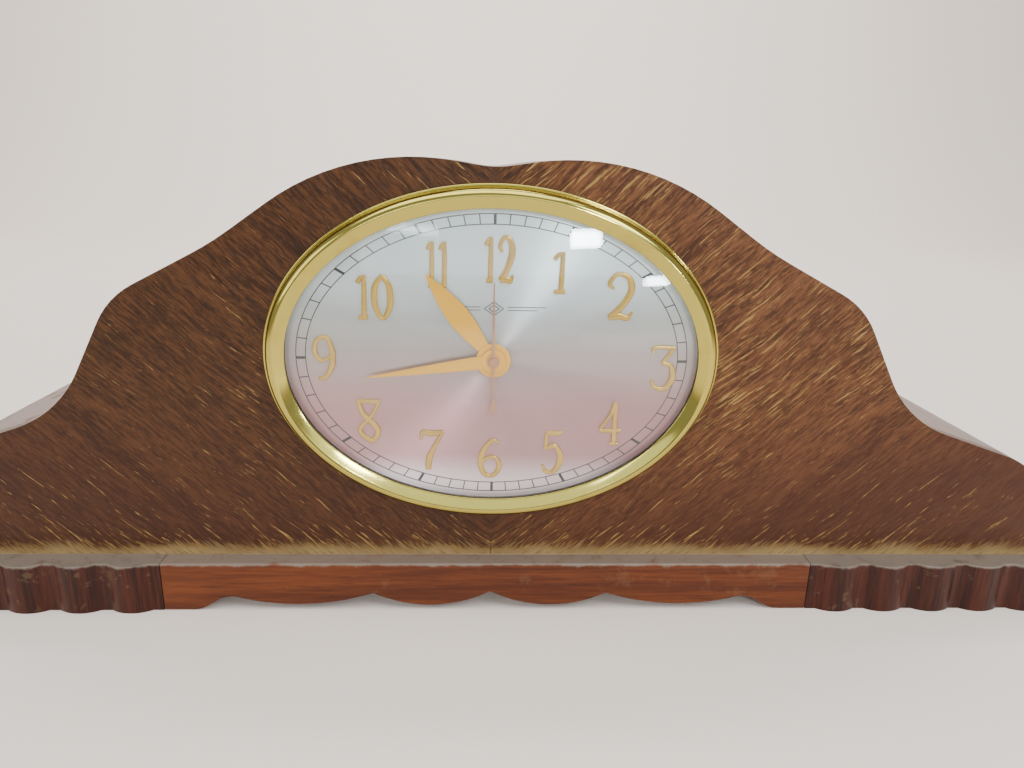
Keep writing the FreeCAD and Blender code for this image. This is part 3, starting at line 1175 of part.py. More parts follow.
def chime_bracket():
    """The plate that carries the rear ends of the drum and the hammer bar."""
    back = CHIME_BRACKET + PLATE_THICKNESS
    plate = box(BACK_PLATE_LEFT, DRUM_X + BRACKET_RIGHT, CHIME_BRACKET, back, BRACKET_LOW, BRACKET_HIGH)
    plate = plate.cut(rod_y(ARBOR_RADIUS + RUN_FIT, CHIME_BRACKET, back, DRUM_X, DRUM_Z))
    pillars = [rod_y(PILLAR_RADIUS, BACK_PLATE_BACK, CHIME_BRACKET, x, z) for x, z in CHIME_PILLARS]
    return fuse([plate] + pillars)


def chime_block():
    """The cast block that holds the rods' roots, standing on the board."""
    x1 = CHIME_BLOCK_X + CHIME_BLOCK_LENGTH
    y0 = ROD_PLACES[0] - CHIME_BLOCK_MARGIN
    y1 = ROD_PLACES[-1] + CHIME_BLOCK_MARGIN
    foot_top = PLINTH_HEIGHT + CHIME_FOOT_HEIGHT
    block = box(CHIME_BLOCK_X, x1, y0, y1, foot_top, ROD_Z + CHIME_BLOCK_HEAD)
    foot = box(CHIME_BLOCK_X - CHIME_FOOT_LENGTH, x1 + CHIME_FOOT_LENGTH, y0, y1, PLINTH_HEIGHT, foot_top)
    sockets = [rod_x(ROD_RADIUS, x1 - ROD_SOCKET, x1, y, ROD_Z) for y in ROD_PLACES]
    return fuse([block, foot]).cut(fuse_apart(sockets))


def chime_rods():
    """Five straight rods of falling length."""
    root = CHIME_BLOCK_X + CHIME_BLOCK_LENGTH - ROD_SOCKET
    return Part.makeCompound([rod_x(ROD_RADIUS, root, root + ROD_LENGTH - index * ROD_STEP, y, ROD_Z)
                              for index, y in enumerate(ROD_PLACES)])


def chime_block_screws():
    """The heads of the screws that hold the chime block to the board."""
    heads = []
    top = PLINTH_HEIGHT + CHIME_FOOT_HEIGHT
    out = CHIME_FOOT_LENGTH / 2
    middle = (ROD_PLACES[0] + ROD_PLACES[-1]) / 2
    for x in (CHIME_BLOCK_X - out, CHIME_BLOCK_X + CHIME_BLOCK_LENGTH + out):
        for y in (middle - CHIME_SCREW_SPREAD, middle + CHIME_SCREW_SPREAD):
            heads.append(rod_z(SCREW_HEAD_RADIUS, top, top + SCREW_HEAD_HEIGHT, x, y))
    return heads


def silent_lever():
    """The lever on the bracket that holds the chime silent."""
    x = (HAMMER_X + DRUM_X) / 2
    y0 = CHIME_BRACKET + PLATE_THICKNESS + LEVER_GAP
    z = BRACKET_HIGH - LEVER_DROP
    hub = rod_y(LEVER_HUB_RADIUS, y0, y0 + LEVER_THICKNESS, x, z)
    arm = box(x - LEVER_HALF_WIDTH, x + LEVER_HALF_WIDTH, y0, y0 + LEVER_THICKNESS, z, z + LEVER_LENGTH)
    tab = rod_y(TAB_RADIUS, y0, y0 + TAB_HEIGHT, x, z + LEVER_LENGTH)
    return fuse([hub, arm, tab])


# --- back door -------------------------------------------------------------------------------------
HINGE_X = DOORWAY_HALF_WIDTH + DOOR_LAP + HINGE_RADIUS + HINGE_SIDE_GAP
HINGE_Y = BACK_REAR + HINGE_RADIUS + HINGE_REAR_GAP
HINGE_PLACES = [DIAL_Z - DOORWAY_BELOW + HINGE_INSET, DIAL_Z + DOORWAY_ABOVE - HINGE_INSET - HINGE_LENGTH]


def catch_place():
    """Where the catch turns, beside the door's free edge."""
    return -(DOORWAY_HALF_WIDTH + DOOR_LAP + CATCH_LENGTH / 3), DIAL_Z


def back_door():
    """The door over the doorway, cut out around the setting knob."""
    door = doorway(DOOR_LAP, BACK_REAR, DOOR_REAR)
    low = DIAL_Z - DOORWAY_BELOW + DOOR_LAP + DOOR_LOWER_SLOT_RISE
    high = DIAL_Z + DOORWAY_ABOVE - DOOR_UPPER_SLOT_DROP
    tools = [rod_y(SET_KNOB_RADIUS + KNOB_CLEARANCE, BACK_REAR, DOOR_REAR, 0, SET_SHAFT_Z)]
    for index in range(-DOOR_SLOTS_EACH_SIDE, DOOR_SLOTS_EACH_SIDE + 1):
        x = index * SLOT_PITCH
        tools.append(box(x - SLOT_WIDTH / 2, x + SLOT_WIDTH / 2, BACK_REAR, DOOR_REAR,
                         high - DOOR_UPPER_SLOT, high))
        tools.append(box(x - SLOT_WIDTH / 2, x + SLOT_WIDTH / 2, BACK_REAR, DOOR_REAR,
                         low, low + DOOR_LOWER_SLOT))
    return door.cut(fuse_apart(tools))


def knuckle(z0, z1, leaf_sign, leaf_y):
    """One hinge knuckle with its leaf to one side."""
    barrel = rod_z(HINGE_RADIUS, z0, z1, HINGE_X, HINGE_Y)
    low, high = sorted((HINGE_X, HINGE_X + leaf_sign * (HINGE_LEAF + HINGE_RADIUS)))
    leaf = box(low, high, leaf_y, leaf_y + LEAF_THICKNESS, z0, z1)
    return fuse([barrel, leaf])


def hinge_leaves_fixed():
    """The leaves on the back panel with their end knuckles, and the hinge pins."""
    pieces = []
    for z in HINGE_PLACES:
        third = HINGE_LENGTH / 3
        lower = knuckle(z, z + third, 1, BACK_REAR)
        upper = knuckle(z + 2 * third, z + 3 * third, 1, BACK_REAR)
        spine = box(HINGE_X + HINGE_RADIUS + SPINE_GAP, HINGE_X + HINGE_RADIUS + HINGE_LEAF, BACK_REAR,
                    BACK_REAR + LEAF_THICKNESS, z, z + HINGE_LENGTH)
        pin = rod_z(HINGE_PIN_RADIUS, z, z + HINGE_LENGTH, HINGE_X, HINGE_Y)
        pieces.append(fuse([lower, upper, spine]).cut(pin))
        pieces.append(pin)
    return Part.makeCompound(pieces)


def hinge_leaves_door():
    """The leaves on the door with their middle knuckles."""
    pieces = []
    for z in HINGE_PLACES:
        third = HINGE_LENGTH / 3
        leaf = knuckle(z + third + KNUCKLE_GAP, z + 2 * third - KNUCKLE_GAP, -1, DOOR_REAR)
        bore = rod_z(HINGE_PIN_RADIUS + RUN_FIT, z, z + HINGE_LENGTH, HINGE_X, HINGE_Y)
        pieces.append(leaf.cut(bore))
    return Part.makeCompound(pieces)


def door_catch():
    """The turn button, stored upright and clear of the door."""
    x, z = catch_place()
    y0 = DOOR_REAR + CATCH_GAP
    half = CATCH_HALF_WIDTH
    bar = box(x - half, x + half, y0, y0 + CATCH_THICKNESS, z - half, z + CATCH_LENGTH)
    boss = rod_y(CATCH_BOSS_RADIUS, BACK_REAR + CATCH_BOSS_GAP, y0, x, z)
    pivot = rod_y(SCREW_RADIUS - RUN_FIT, BACK_FRONT, y0, x, z)
    return fuse([bar, boss, pivot])


def main():
    """Build every node and write it."""
    os.makedirs("parts", exist_ok=True)
    single = [
        base_board, plinth_apron, plinth_rear_rail, corner_cleats, front_panel, case_top, back_cleats,
        back_panel, case_screws, cord_grommet, bezel, bezel_studs, lens, glass_gasket, dial_plate,
        hour_numerals, hour_hand, minute_hand, seconds_hand, hand_nut, hour_wheel, cannon_pinion,
        minute_wheel, minute_wheel_post, set_shaft, set_knob, mounting_screws, mounting_posts,
        movement_plate_front, movement_plate_back, movement_pillars, seconds_arbor, motor_rotor, motor_can,
        motor_cap, motor_yoke, motor_coil, intermediate_wheel, centre_wheel, clutch_spring, chime_drum,
        drum_wheel, chime_pinion, hammer_arbor, chime_bracket, chime_block, chime_rods,
        silent_lever, back_door, hinge_leaves_fixed, hinge_leaves_door, door_catch,
    ]
    for build in single:
        save(build.__name__, build())
    block = plinth_block()
    side = plinth_side()
    save("plinth_block_right", block)
    save("plinth_block_left", mirrored(block))
    save("plinth_side_rails", Part.makeCompound([side, mirrored(side)]))
    for index, y in enumerate(ROD_PLACES):
        save("chime_hammer_%d" % (index + 1), chime_hammer(y))


main()
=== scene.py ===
"""Visual model of a humped mantel clock: case, oval bezel, dial, hands and works.

Every length is in metres, in the row frame: X to the right, Y to the back, Z up.
"""

import logging
import math
from dataclasses import dataclass, field, replace
from enum import Enum
from typing import Sequence

import bmesh
import bpy
import numpy as np
from mathutils import Matrix, Vector


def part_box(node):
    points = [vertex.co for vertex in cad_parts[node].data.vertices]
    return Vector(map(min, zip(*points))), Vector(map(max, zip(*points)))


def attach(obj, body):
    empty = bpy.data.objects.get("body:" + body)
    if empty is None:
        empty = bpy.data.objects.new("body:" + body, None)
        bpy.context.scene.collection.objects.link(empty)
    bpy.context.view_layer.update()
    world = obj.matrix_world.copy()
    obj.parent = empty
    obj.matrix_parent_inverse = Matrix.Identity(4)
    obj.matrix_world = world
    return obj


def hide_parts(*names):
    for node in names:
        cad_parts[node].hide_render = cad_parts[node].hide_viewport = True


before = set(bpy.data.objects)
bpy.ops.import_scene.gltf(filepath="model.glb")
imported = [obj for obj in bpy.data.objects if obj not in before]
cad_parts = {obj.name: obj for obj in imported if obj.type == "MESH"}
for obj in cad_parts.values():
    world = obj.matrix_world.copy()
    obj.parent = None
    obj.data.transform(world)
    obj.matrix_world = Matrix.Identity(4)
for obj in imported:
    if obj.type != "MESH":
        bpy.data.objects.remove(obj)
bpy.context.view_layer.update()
LOG = logging.getLogger("clock")
MM = 0.001
Colour = tuple[float, float, float]
Socket = bpy.types.NodeSocket


# --------------------------------------------------------------------------- node helper
class Sheet:
    """A material's node tree, with short calls for the nodes that the finishes share."""

    def __init__(self, name: str) -> None:
        """Start an empty material.

        Args:
            name: the material's name.
        """
        self.material = bpy.data.materials.new(name)
        self.material.use_nodes = True
        self.tree = self.material.node_tree
        self.tree.nodes.clear()
        output = self.tree.nodes.new("ShaderNodeOutputMaterial")
        self.shader = self.tree.nodes.new("ShaderNodeBsdfPrincipled")
        self.tree.links.new(self.shader.outputs[0], output.inputs[0])
        self.position = self.tree.nodes.new("ShaderNodeTexCoord").outputs["Object"]

    def link(self, source: Socket, target: Socket) -> None:
        """Join an output to an input."""
        self.tree.links.new(source, target)

    def put(self, target: Socket, value: object) -> None:
        """Give an input a plain value or a link.

        Args:
            target: the input socket.
            value: a socket to link, or a value to store.
        """
        if isinstance(value, bpy.types.NodeSocket):
            self.link(value, target)
        else:
            target.default_value = value

    def math(self, operation: str, a: object, b: object = 0.0, clamp: bool = False) -> Socket:
        """Arithmetic on two values.

        Args:
            operation: the Math node's operation.
            a: first value or socket.
            b: second value or socket.
            clamp: keep the result between 0 and 1.

        Returns:
            The result's socket.
        """
        node = self.tree.nodes.new("ShaderNodeMath")
        node.operation = operation
        node.use_clamp = clamp
        self.put(node.inputs[0], a)
        self.put(node.inputs[1], b)
        return node.outputs[0]

    def sum(self, *terms: tuple[Socket, float]) -> Socket:
        """The sum of sockets, each times its weight."""
        parts = [value if weight == 1.0 else self.math("MULTIPLY", value, weight) for value, weight in terms]
        total = parts[0]
        for part in parts[1:]:
            total = self.math("ADD", total, part)
        return total

    def wobble(self, value: Socket, pattern: Socket, size: float) -> Socket:
        """A value pushed up and down by a pattern about the pattern's middle."""
        return self.sum((value, 1.0), (self.math("SUBTRACT", pattern, 0.5), size))

    def axes(self, vector: Socket) -> tuple[Socket, Socket, Socket]:
        """The three components of a vector."""
        node = self.tree.nodes.new("ShaderNodeSeparateXYZ")
        self.link(vector, node.inputs[0])
        return node.outputs[0], node.outputs[1], node.outputs[2]

    def vector(self, x: object, y: object, z: object) -> Socket:
        """A vector from three values or sockets."""
        node = self.tree.nodes.new("ShaderNodeCombineXYZ")
        for socket, value in zip(node.inputs, (x, y, z)):
            self.put(socket, value)
        return node.outputs[0]

    def mapped(self, vector: Socket, scale: Colour, turn: Colour = (0.0, 0.0, 0.0),
               shift: Colour = (0.0, 0.0, 0.0)) -> Socket:
        """A vector after shifting, turning and scaling.

        Args:
            vector: the coordinates.
            scale: the scale on each axis.
            turn: the rotation on each axis, in radians.
            shift: the shift on each axis.

        Returns:
            The mapped coordinates.
        """
        node = self.tree.nodes.new("ShaderNodeMapping")
        self.link(vector, node.inputs["Vector"])
        node.inputs["Location"].default_value = shift
        node.inputs["Rotation"].default_value = turn
        node.inputs["Scale"].default_value = scale
        return node.outputs[0]

    def noise(self, vector: Socket, scale: float, detail: float = 4.0, rough: float = 0.55,
              distortion: float = 0.0) -> Socket:
        """Fractal noise between 0 and 1."""
        node = self.tree.nodes.new("ShaderNodeTexNoise")
        self.link(vector, node.inputs["Vector"])
        node.inputs["Scale"].default_value = scale
        node.inputs["Detail"].default_value = detail
        node.inputs["Roughness"].default_value = rough
        node.inputs["Distortion"].default_value = distortion
        return node.outputs["Fac"]

    def step(self, value: Socket, low: float, high: float, start: float = 0.0, end: float = 1.0) -> Socket:
        """A smooth step of a value from start to end as it goes from low to high."""
        node = self.tree.nodes.new("ShaderNodeMapRange")
        node.interpolation_type = "SMOOTHSTEP"
        self.link(value, node.inputs["Value"])
        for key, number in zip(("From Min", "From Max", "To Min", "To Max"), (low, high, start, end)):
            node.inputs[key].default_value = number
        return node.outputs["Result"]

    def mix(self, amount: object, a: object, b: object) -> Socket:
        """Two colours mixed by an amount."""
        node = self.tree.nodes.new("ShaderNodeMix")
        node.data_type = "RGBA"
        node.clamp_factor = True
        self.put(node.inputs[0], amount)
        for socket, value in ((node.inputs[6], a), (node.inputs[7], b)):
            self.put(socket, (*value, 1.0) if isinstance(value, tuple) else value)
        return node.outputs[2]

    def bump(self, height: Socket, strength: float, distance: float) -> None:
        """Feed a bump from a height, with its depth in metres, to the shader."""
        node = self.tree.nodes.new("ShaderNodeBump")
        node.inputs["Strength"].default_value = strength
        node.inputs["Distance"].default_value = distance
        self.link(height, node.inputs["Height"])
        self.link(node.outputs[0], self.shader.inputs["Normal"])

    def shade(self, **values: object) -> bpy.types.Material:
        """Set the shader's inputs by name, with underscores for spaces.

        Returns:
            The finished material.
        """
        for key, value in values.items():
            socket = self.shader.inputs[key.replace("_", " ")]
            self.put(socket, (*value, 1.0) if isinstance(value, tuple) and len(value) == 3 else value)
        return self.material


# --------------------------------------------------------------------------- finishes
class Run(Enum):
    """The row axis that a board's grain runs along, as the scale that stretches a pattern."""

    ALONG_X = (1.0, 22.0, 22.0)
    ALONG_Y = (22.0, 1.0, 22.0)
    ALONG_Z = (22.0, 22.0, 1.0)


@dataclass(frozen=True)
class MatchedVeneer:
    """Diagonal figured veneer, opened like a book about the centre line and worn to the wood."""

    foot: float
    name: str = "matched_veneer"
    lean: float = math.radians(42.0)
    stripe_scale: Colour = (9.0, 40.0, 130.0)
    fibre_scale: Colour = (150.0, 500.0, 1100.0)
    pore_scale: Colour = (110.0, 900.0, 2300.0)
    fleck_scale: Colour = (62.0, 600.0, 1150.0)
    fleck_shift: Colour = (3.1, 0.0, 1.7)
    left_dark: Colour = (0.024, 0.009, 0.003)
    left_light: Colour = (0.094, 0.036, 0.012)
    right_dark: Colour = (0.048, 0.014, 0.004)
    right_light: Colour = (0.168, 0.066, 0.023)
    pore: Colour = (0.022, 0.009, 0.005)
    rich: Colour = (0.052, 0.013, 0.006)
    fleck: Colour = (0.46, 0.28, 0.08)
    worn: Colour = (0.44, 0.31, 0.13)
    seam: Colour = (0.05, 0.025, 0.012)
    wing_slope: float = 0.25
    crowd_height: float = 22.0 * MM
    worn_height: float = 3.0 * MM

    def material(self) -> bpy.types.Material:
        """Grain on |X|, so both halves mirror: stripes, pores, flecks, and wear at the foot."""
        s = Sheet(self.name)
        x, y, z = s.axes(s.position)
        out = s.math("ABSOLUTE", x)
        folded = s.vector(out, y, z)
        wander = s.noise(folded, 14.0, 3.0)
        bent = s.vector(out, y, s.sum((z, 1.0), (wander, 0.012)))
        along = s.mapped(bent, (1.0, 1.0, 1.0), (0.0, self.lean, 0.0))
        stripes = s.noise(s.mapped(along, self.stripe_scale), 1.0, 5.0, 0.6)
        fibre = s.noise(s.mapped(along, self.fibre_scale), 1.0, 4.0, 0.75)
        tone = s.step(s.sum((stripes, 0.25), (fibre, 0.75)), 0.38, 0.62)
        right = s.step(s.sum((x, 1.0), (wander, 0.02)), -0.004, 0.05)
        dark = s.mix(right, self.left_dark, self.right_dark)
        light = s.mix(right, self.left_light, self.right_light)
        wood = s.mix(tone, dark, light)
        pores = s.step(s.noise(s.mapped(along, self.pore_scale), 1.0, 2.0, 0.5), 0.57, 0.68)
        wood = s.mix(s.math("MULTIPLY", pores, 0.55), wood, self.pore)
        level = s.sum((z, 1.0), (out, -self.wing_slope))
        deep = s.math("MULTIPLY", s.step(level, 0.0, 0.080, 0.75, 0.0), s.step(right, 0.0, 1.0, 0.6, 1.0))
        wood = s.mix(deep, wood, self.rich)
        patches = s.math("SUBTRACT", s.noise(folded, 16.0, 4.0, 0.6), 0.5)
        low = s.step(z, self.foot, self.foot + self.crowd_height, 0.08, 0.0)
        lively = s.math("MULTIPLY", right, s.step(level, 0.02, 0.085, 0.0, 0.075))
        dash = s.noise(s.mapped(along, self.fleck_scale, shift=self.fleck_shift), 1.0, 3.0, 0.7)
        flecks = s.step(s.sum((dash, 1.0), (patches, 0.2), (low, 1.0), (lively, 1.0)), 0.65, 0.71)
        wood = s.mix(s.math("MULTIPLY", flecks, 0.62), wood, self.fleck)
        edge = s.sum((s.wobble(z, dash, 0.022), 1.0), (s.noise(folded, 33.0, 3.0), -0.007))
        fade = s.step(edge, self.foot - 3.5 * MM, self.foot + self.worn_height, 0.8, 0.0)
        band = s.math("MULTIPLY", fade, s.step(dash, 0.40, 0.56, 0.55, 1.0))
        wood = s.mix(band, wood, self.worn)
        wood = s.mix(s.step(out, 0.1 * MM, 0.6 * MM, 0.7, 0.0), wood, self.seam)
        dull = s.math("ADD", flecks, band, clamp=True)
        s.bump(s.sum((fibre, 1.0), (s.math("SUBTRACT", dull, pores), 0.5)), 0.35, 0.25 * MM)
        return s.shade(Base_Color=wood, Roughness=s.step(dull, 0.0, 1.0, 0.36, 0.6),
                       Specular_IOR_Level=0.2, Coat_Weight=0.06, Coat_Roughness=0.2)


@dataclass(frozen=True)
class StainedWood:
    """Straight-grained stained wood with pores, a soft polish, and wear on raised edges."""

    name: str
    run: Run
    dark: Colour
    light: Colour
    worn: Colour = (0.36, 0.24, 0.11)
    wear: float = 0.35
    roughness: float = 0.32
    coat: float = 0.15
    rubbed_above: float = 1.0
    rubbed_depth: float = 1.6 * MM
    rubbed: Colour = (0.24, 0.20, 0.16)

    def material(self) -> bpy.types.Material:
        """Noise stretched along the grain gives fibre and pores; a coarser noise gives the wear."""
        s = Sheet(self.name)
        grain = s.mapped(s.position, self.run.value)
        stripes = s.noise(grain, 6.0, 6.0, 0.6, 0.4)
        fibre = s.noise(grain, 42.0, 4.0, 0.6)
        tone = s.step(s.sum((stripes, 0.6), (fibre, 0.4)), 0.36, 0.64)
        wood = s.mix(tone, self.dark, self.light)
        pores = s.step(s.noise(grain, 70.0, 2.0), 0.60, 0.70)
        wood = s.mix(s.math("MULTIPLY", pores, 0.5), wood, tuple(part * 0.3 for part in self.dark))
        scuff = s.noise(s.position, 130.0, 5.0, 0.7)
        blotch = s.noise(s.position, 22.0, 3.0)
        marks = s.step(s.sum((scuff, 0.6), (blotch, 0.4)), 0.565, 0.62)
        wood = s.mix(s.math("MULTIPLY", marks, self.wear), wood, self.worn)
        ragged = s.wobble(s.axes(s.position)[2], scuff, 0.004)
        edge = s.step(ragged, self.rubbed_above - self.rubbed_depth, self.rubbed_above, 0.0, 0.75)
        wood = s.mix(edge, wood, self.rubbed)
        s.bump(s.sum((fibre, 1.0), (pores, -0.6)), 0.3, 0.2 * MM)
        rough = s.step(marks, 0.0, 1.0, self.roughness, self.roughness + 0.2)
        return s.shade(Base_Color=wood, Roughness=rough, Specular_IOR_Level=0.25, Coat_Weight=self.coat,
                       Coat_Roughness=0.15)


@dataclass(frozen=True)
class Metal:
    """A metal with fine brushing, smudges and a little tarnish."""

    name: str
    colour: Colour
    tarnish: Colour
    roughness: float
    brush: Colour = (40.0, 900.0, 40.0)
    depth: float = 0.02 * MM
    metallic: float = 1.0

    def material(self) -> bpy.types.Material:
        """Long noise for brushing, and broad noise for smudges that dull and tint the metal."""
        s = Sheet(self.name)
        lines = s.noise(s.mapped(s.position, self.brush), 1.0, 4.0, 0.65)
        smudge = s.noise(s.position, 45.0, 5.0, 0.65)
        tint = s.mix(s.step(smudge, 0.52, 0.80, 0.0, 0.7), self.colour, self.tarnish)
        dull = s.wobble(s.step(smudge, 0.3, 0.8, self.roughness, self.roughness + 0.09), lines, 0.06)
        s.bump(lines, 0.25, self.depth)
        return s.shade(Base_Color=tint, Metallic=self.metallic, Roughness=dull)


@dataclass(frozen=True)
class SilveredDial:
    """Silvered metal finished with a fine round-and-round brush, which throws two bright fans."""

    centre_z: float
    name: str = "silvered_dial"
    clean: Colour = (0.45, 0.45, 0.445)
    aged: Colour = (0.40, 0.375, 0.36)
    streak: Colour = (0.51, 0.50, 0.49)
    # Painted reflections: pink on the lower half, bluish-white on the upper half, pale at the bottom edge.
    painted_pink_reflection: Colour = (0.58, 0.27, 0.28)
    painted_sky_reflection: Colour = (0.82, 0.98, 1.0)
    # The rim colour is a painted reflection along the bottom edge.
    rim: Colour = (1.0, 0.90, 0.92)
    speck: Colour = (0.28, 0.20, 0.15)
    ring_scale: float = 2600.0
    fan_size: float = 2.2

    def material(self) -> bpy.types.Material:
        """Rings follow the distance from the centre, and faint streaks follow the bearing; the tints by
        height are painted reflections.
        """
        s = Sheet(self.name)
        x, _, z = s.axes(s.position)
        up = s.math("SUBTRACT", z, self.centre_z)
        reach = s.math("SQRT", s.math("ADD", s.math("MULTIPLY", x, x), s.math("MULTIPLY", up, up)))
        bearing = s.math("ARCTAN2", up, x)
        rings = s.noise(s.vector(s.math("MULTIPLY", reach, self.ring_scale), s.math("MULTIPLY", bearing, 1.5),
                                 0.0), 1.0, 3.0)
        way = [s.math("MULTIPLY", s.math(part, bearing), self.fan_size) for part in ("COSINE", "SINE")]
        fans = s.noise(s.vector(*way, 0.0), 1.6, 2.0, 0.5)
        age = s.step(s.noise(s.position, 26.0, 4.0, 0.6), 0.35, 0.8, 0.0, 0.35)
        silver = s.mix(age, self.clean, self.aged)
        silver = s.mix(s.step(fans, 0.3, 0.7, 0.0, 0.3), silver, self.streak)
        # Painted reflection: the lower half is tinted pink.
        silver = s.mix(s.step(up, -0.030, 0.014, 0.8, 0.0), silver, self.painted_pink_reflection)
        # Painted reflection: the upper half is tinted bluish-white.
        silver = s.mix(s.step(up, 0.000, 0.045, 0.0, 0.85), silver, self.painted_sky_reflection)
        # Painted reflection: the bottom edge is painted a pale pink-white.
        silver = s.mix(s.step(up, -0.060, -0.044, 0.85, 0.0), silver, self.rim)
        silver = s.mix(s.step(s.noise(s.position, 900.0, 2.0), 0.74, 0.80, 0.0, 0.4), silver, self.speck)
        s.bump(rings, 0.30, 0.012 * MM)
        turn = s.tree.nodes.new("ShaderNodeTangent")
        turn.direction_type = "RADIAL"
        turn.axis = "Y"
        s.link(turn.outputs[0], s.shader.inputs["Tangent"])
        return s.shade(Base_Color=silver, Metallic=0.75, Roughness=s.step(fans, 0.3, 0.7, 0.46, 0.40),
                       Anisotropic=0.95, Anisotropic_Rotation=0.25)


@dataclass(frozen=True)
class DomeGlass:
    """Clear glass that shows only what it reflects, more at a slant."""

    name: str = "dome_glass"

    def material(self) -> bpy.types.Material:
        """A mirror whose cover is 4% face on and grows with the slant, with faint dust.

        Both walls use the slant alone, so the inner one never turns into a full mirror from within.
        """
        s = Sheet(self.name)
        slant = s.tree.nodes.new("ShaderNodeLayerWeight")
        slant.inputs["Blend"].default_value = 0.5
        dust = s.step(s.noise(s.position, 60.0, 5.0, 0.7), 0.5, 0.9, 0.0, 0.03)
        gloss = s.math("MULTIPLY", s.math("POWER", slant.outputs["Facing"], 5.0), 0.96)
        cover = s.math("ADD", s.math("ADD", gloss, 0.04), dust, clamp=True)
        s.material.surface_render_method = "BLENDED"
        return s.shade(Base_Color=(0.97, 0.98, 0.98), Metallic=1.0, Alpha=cover,
                       Roughness=s.step(dust, 0.0, 0.03, 0.015, 0.05))


@dataclass(frozen=True)
class Moulded:
    """Rubber, cloth tape, enamel and other plain-coloured stuff with a fine surface."""

    name: str
    colour: Colour
    second: Colour
    roughness: float
    grain: float
    depth: float = 0.0001
    metallic: float = 0.0

    def material(self) -> bpy.types.Material:
        """Two noises: one for tone, one for the grain that the bump follows."""
        s = Sheet(self.name)
        tone = s.step(s.noise(s.position, self.grain / 8.0, 5.0, 0.6), 0.35, 0.7)
        grit = s.noise(s.position, self.grain, 3.0)
        s.bump(grit, 0.4, self.depth)
        return s.shade(Base_Color=s.mix(tone, self.colour, self.second), Metallic=self.metallic,
                       Roughness=s.step(tone, 0.0, 1.0, self.roughness, self.roughness + 0.12))


@dataclass(frozen=True)
class WoundTape:
    """Varnished cloth tape wound round a coil."""

    name: str = "wound_tape"
    slant: float = 0.18
    turns: float = 260.0
    threads: float = 9000.0

    def material(self) -> bpy.types.Material:
        """Saw waves along X are the overlaps of the tape, and a crossed wave is its weave."""
        s = Sheet(self.name)
        x, y, z = s.axes(s.position)
        girth = s.math("ADD", y, z)
        slant = s.sum((x, 1.0), (girth, self.slant))
        turns = s.math("FRACT", s.math("MULTIPLY", slant, self.turns))
        threads = [s.math("SINE", s.math("MULTIPLY", way, self.threads)) for way in (x, girth)]
        weave = s.math("MULTIPLY", *threads)
        tone = s.noise(s.position, 120.0, 4.0)
        tape = s.mix(s.step(tone, 0.3, 0.7), (0.20, 0.11, 0.03), (0.34, 0.21, 0.07))
        tape = s.mix(s.step(turns, 0.0, 0.14, 0.6, 0.0), tape, (0.06, 0.03, 0.01))
        s.bump(s.sum((turns, 1.0), (weave, 0.15)), 0.6, 0.3 * MM)
        return s.shade(Base_Color=tape, Roughness=0.42, Coat_Weight=0.2)


# --------------------------------------------------------------------------- mesh helper
class MeshBag:
    """Grids of points gathered into one mesh, with shared shading and outward faces."""

    def __init__(self) -> None:
        """Start with nothing."""
        self.points: list[np.ndarray] = []
        self.faces: list[list[int]] = []
        self.count = 0

    def grid(self, points: np.ndarray, wrap_u: bool = False, wrap_v: bool = False,
             cap_u: bool = False) -> None:
        """Add a surface given as a grid, by joining neighbours into four-sided faces.

        Args:
            points: an array of rows by columns by 3.
            wrap_u: join the last row to the first.
            wrap_v: join the last column to the first.
            cap_u: close the first and last rows with a flat face each.
        """
        rows, cols = points.shape[:2]
        index = np.arange(rows * cols).reshape(rows, cols) + self.count
        across = np.vstack([index, index[:1]]) if wrap_u else index
        across = np.hstack([across, across[:, :1]]) if wrap_v else across
        quads = np.stack([across[:-1, :-1], across[1:, :-1], across[1:, 1:], across[:-1, 1:]], axis=-1)
        self.faces.extend(quads.reshape(-1, 4).tolist())
        if cap_u:
            self.faces.append(index[0].tolist())
            self.faces.append(index[-1][::-1].tolist())
        self.points.append(points.reshape(-1, 3))
        self.count += rows * cols

    def turned(self, across: np.ndarray, upward: np.ndarray, depths: np.ndarray, centre: Sequence[float],
               steps: int = 48, ring: bool = False) -> None:
        """Add a profile carried round an oval that faces along Y.

        Args:
            across: the oval's half-width at each station of the profile.
            upward: its half-height at each station.
            depths: the station's Y.
            centre: a point on the axis.
            steps: faces round the axis.
            ring: join the profile's end to its start, instead of closing both ends flat.
        """
        turn = np.linspace(0.0, 2 * np.pi, steps, endpoint=False)[None, :]
        x = centre[0] + across[:, None] * np.cos(turn)
        z = centre[2] + upward[:, None] * np.sin(turn)
        y = np.repeat(depths[:, None], steps, axis=1)
        self.grid(np.stack([x, y, z], axis=-1), wrap_u=ring, wrap_v=True, cap_u=not ring)

    def make(self, name: str, material: bpy.types.Material, crease: float = 40.0) -> bpy.types.Object:
        """Build the object at the origin.

        Args:
            name: the piece's name.
            material: its finish.
            crease: edges sharper than this many degrees stay sharp.

        Returns:
            The new object.
        """
        mesh = bpy.data.meshes.new(name)
        mesh.from_pydata(np.concatenate(self.points).tolist(), [], self.faces)
        work = bmesh.new()
        work.from_mesh(mesh)
        bmesh.ops.recalc_face_normals(work, faces=work.faces)
        work.to_mesh(mesh)
        work.free()
        mesh.shade_smooth()
        mesh.set_sharp_from_angle(angle=math.radians(crease))
        mesh.materials.append(material)
        piece = bpy.data.objects.new(name, mesh)
        bpy.context.scene.collection.objects.link(piece)
        return piece


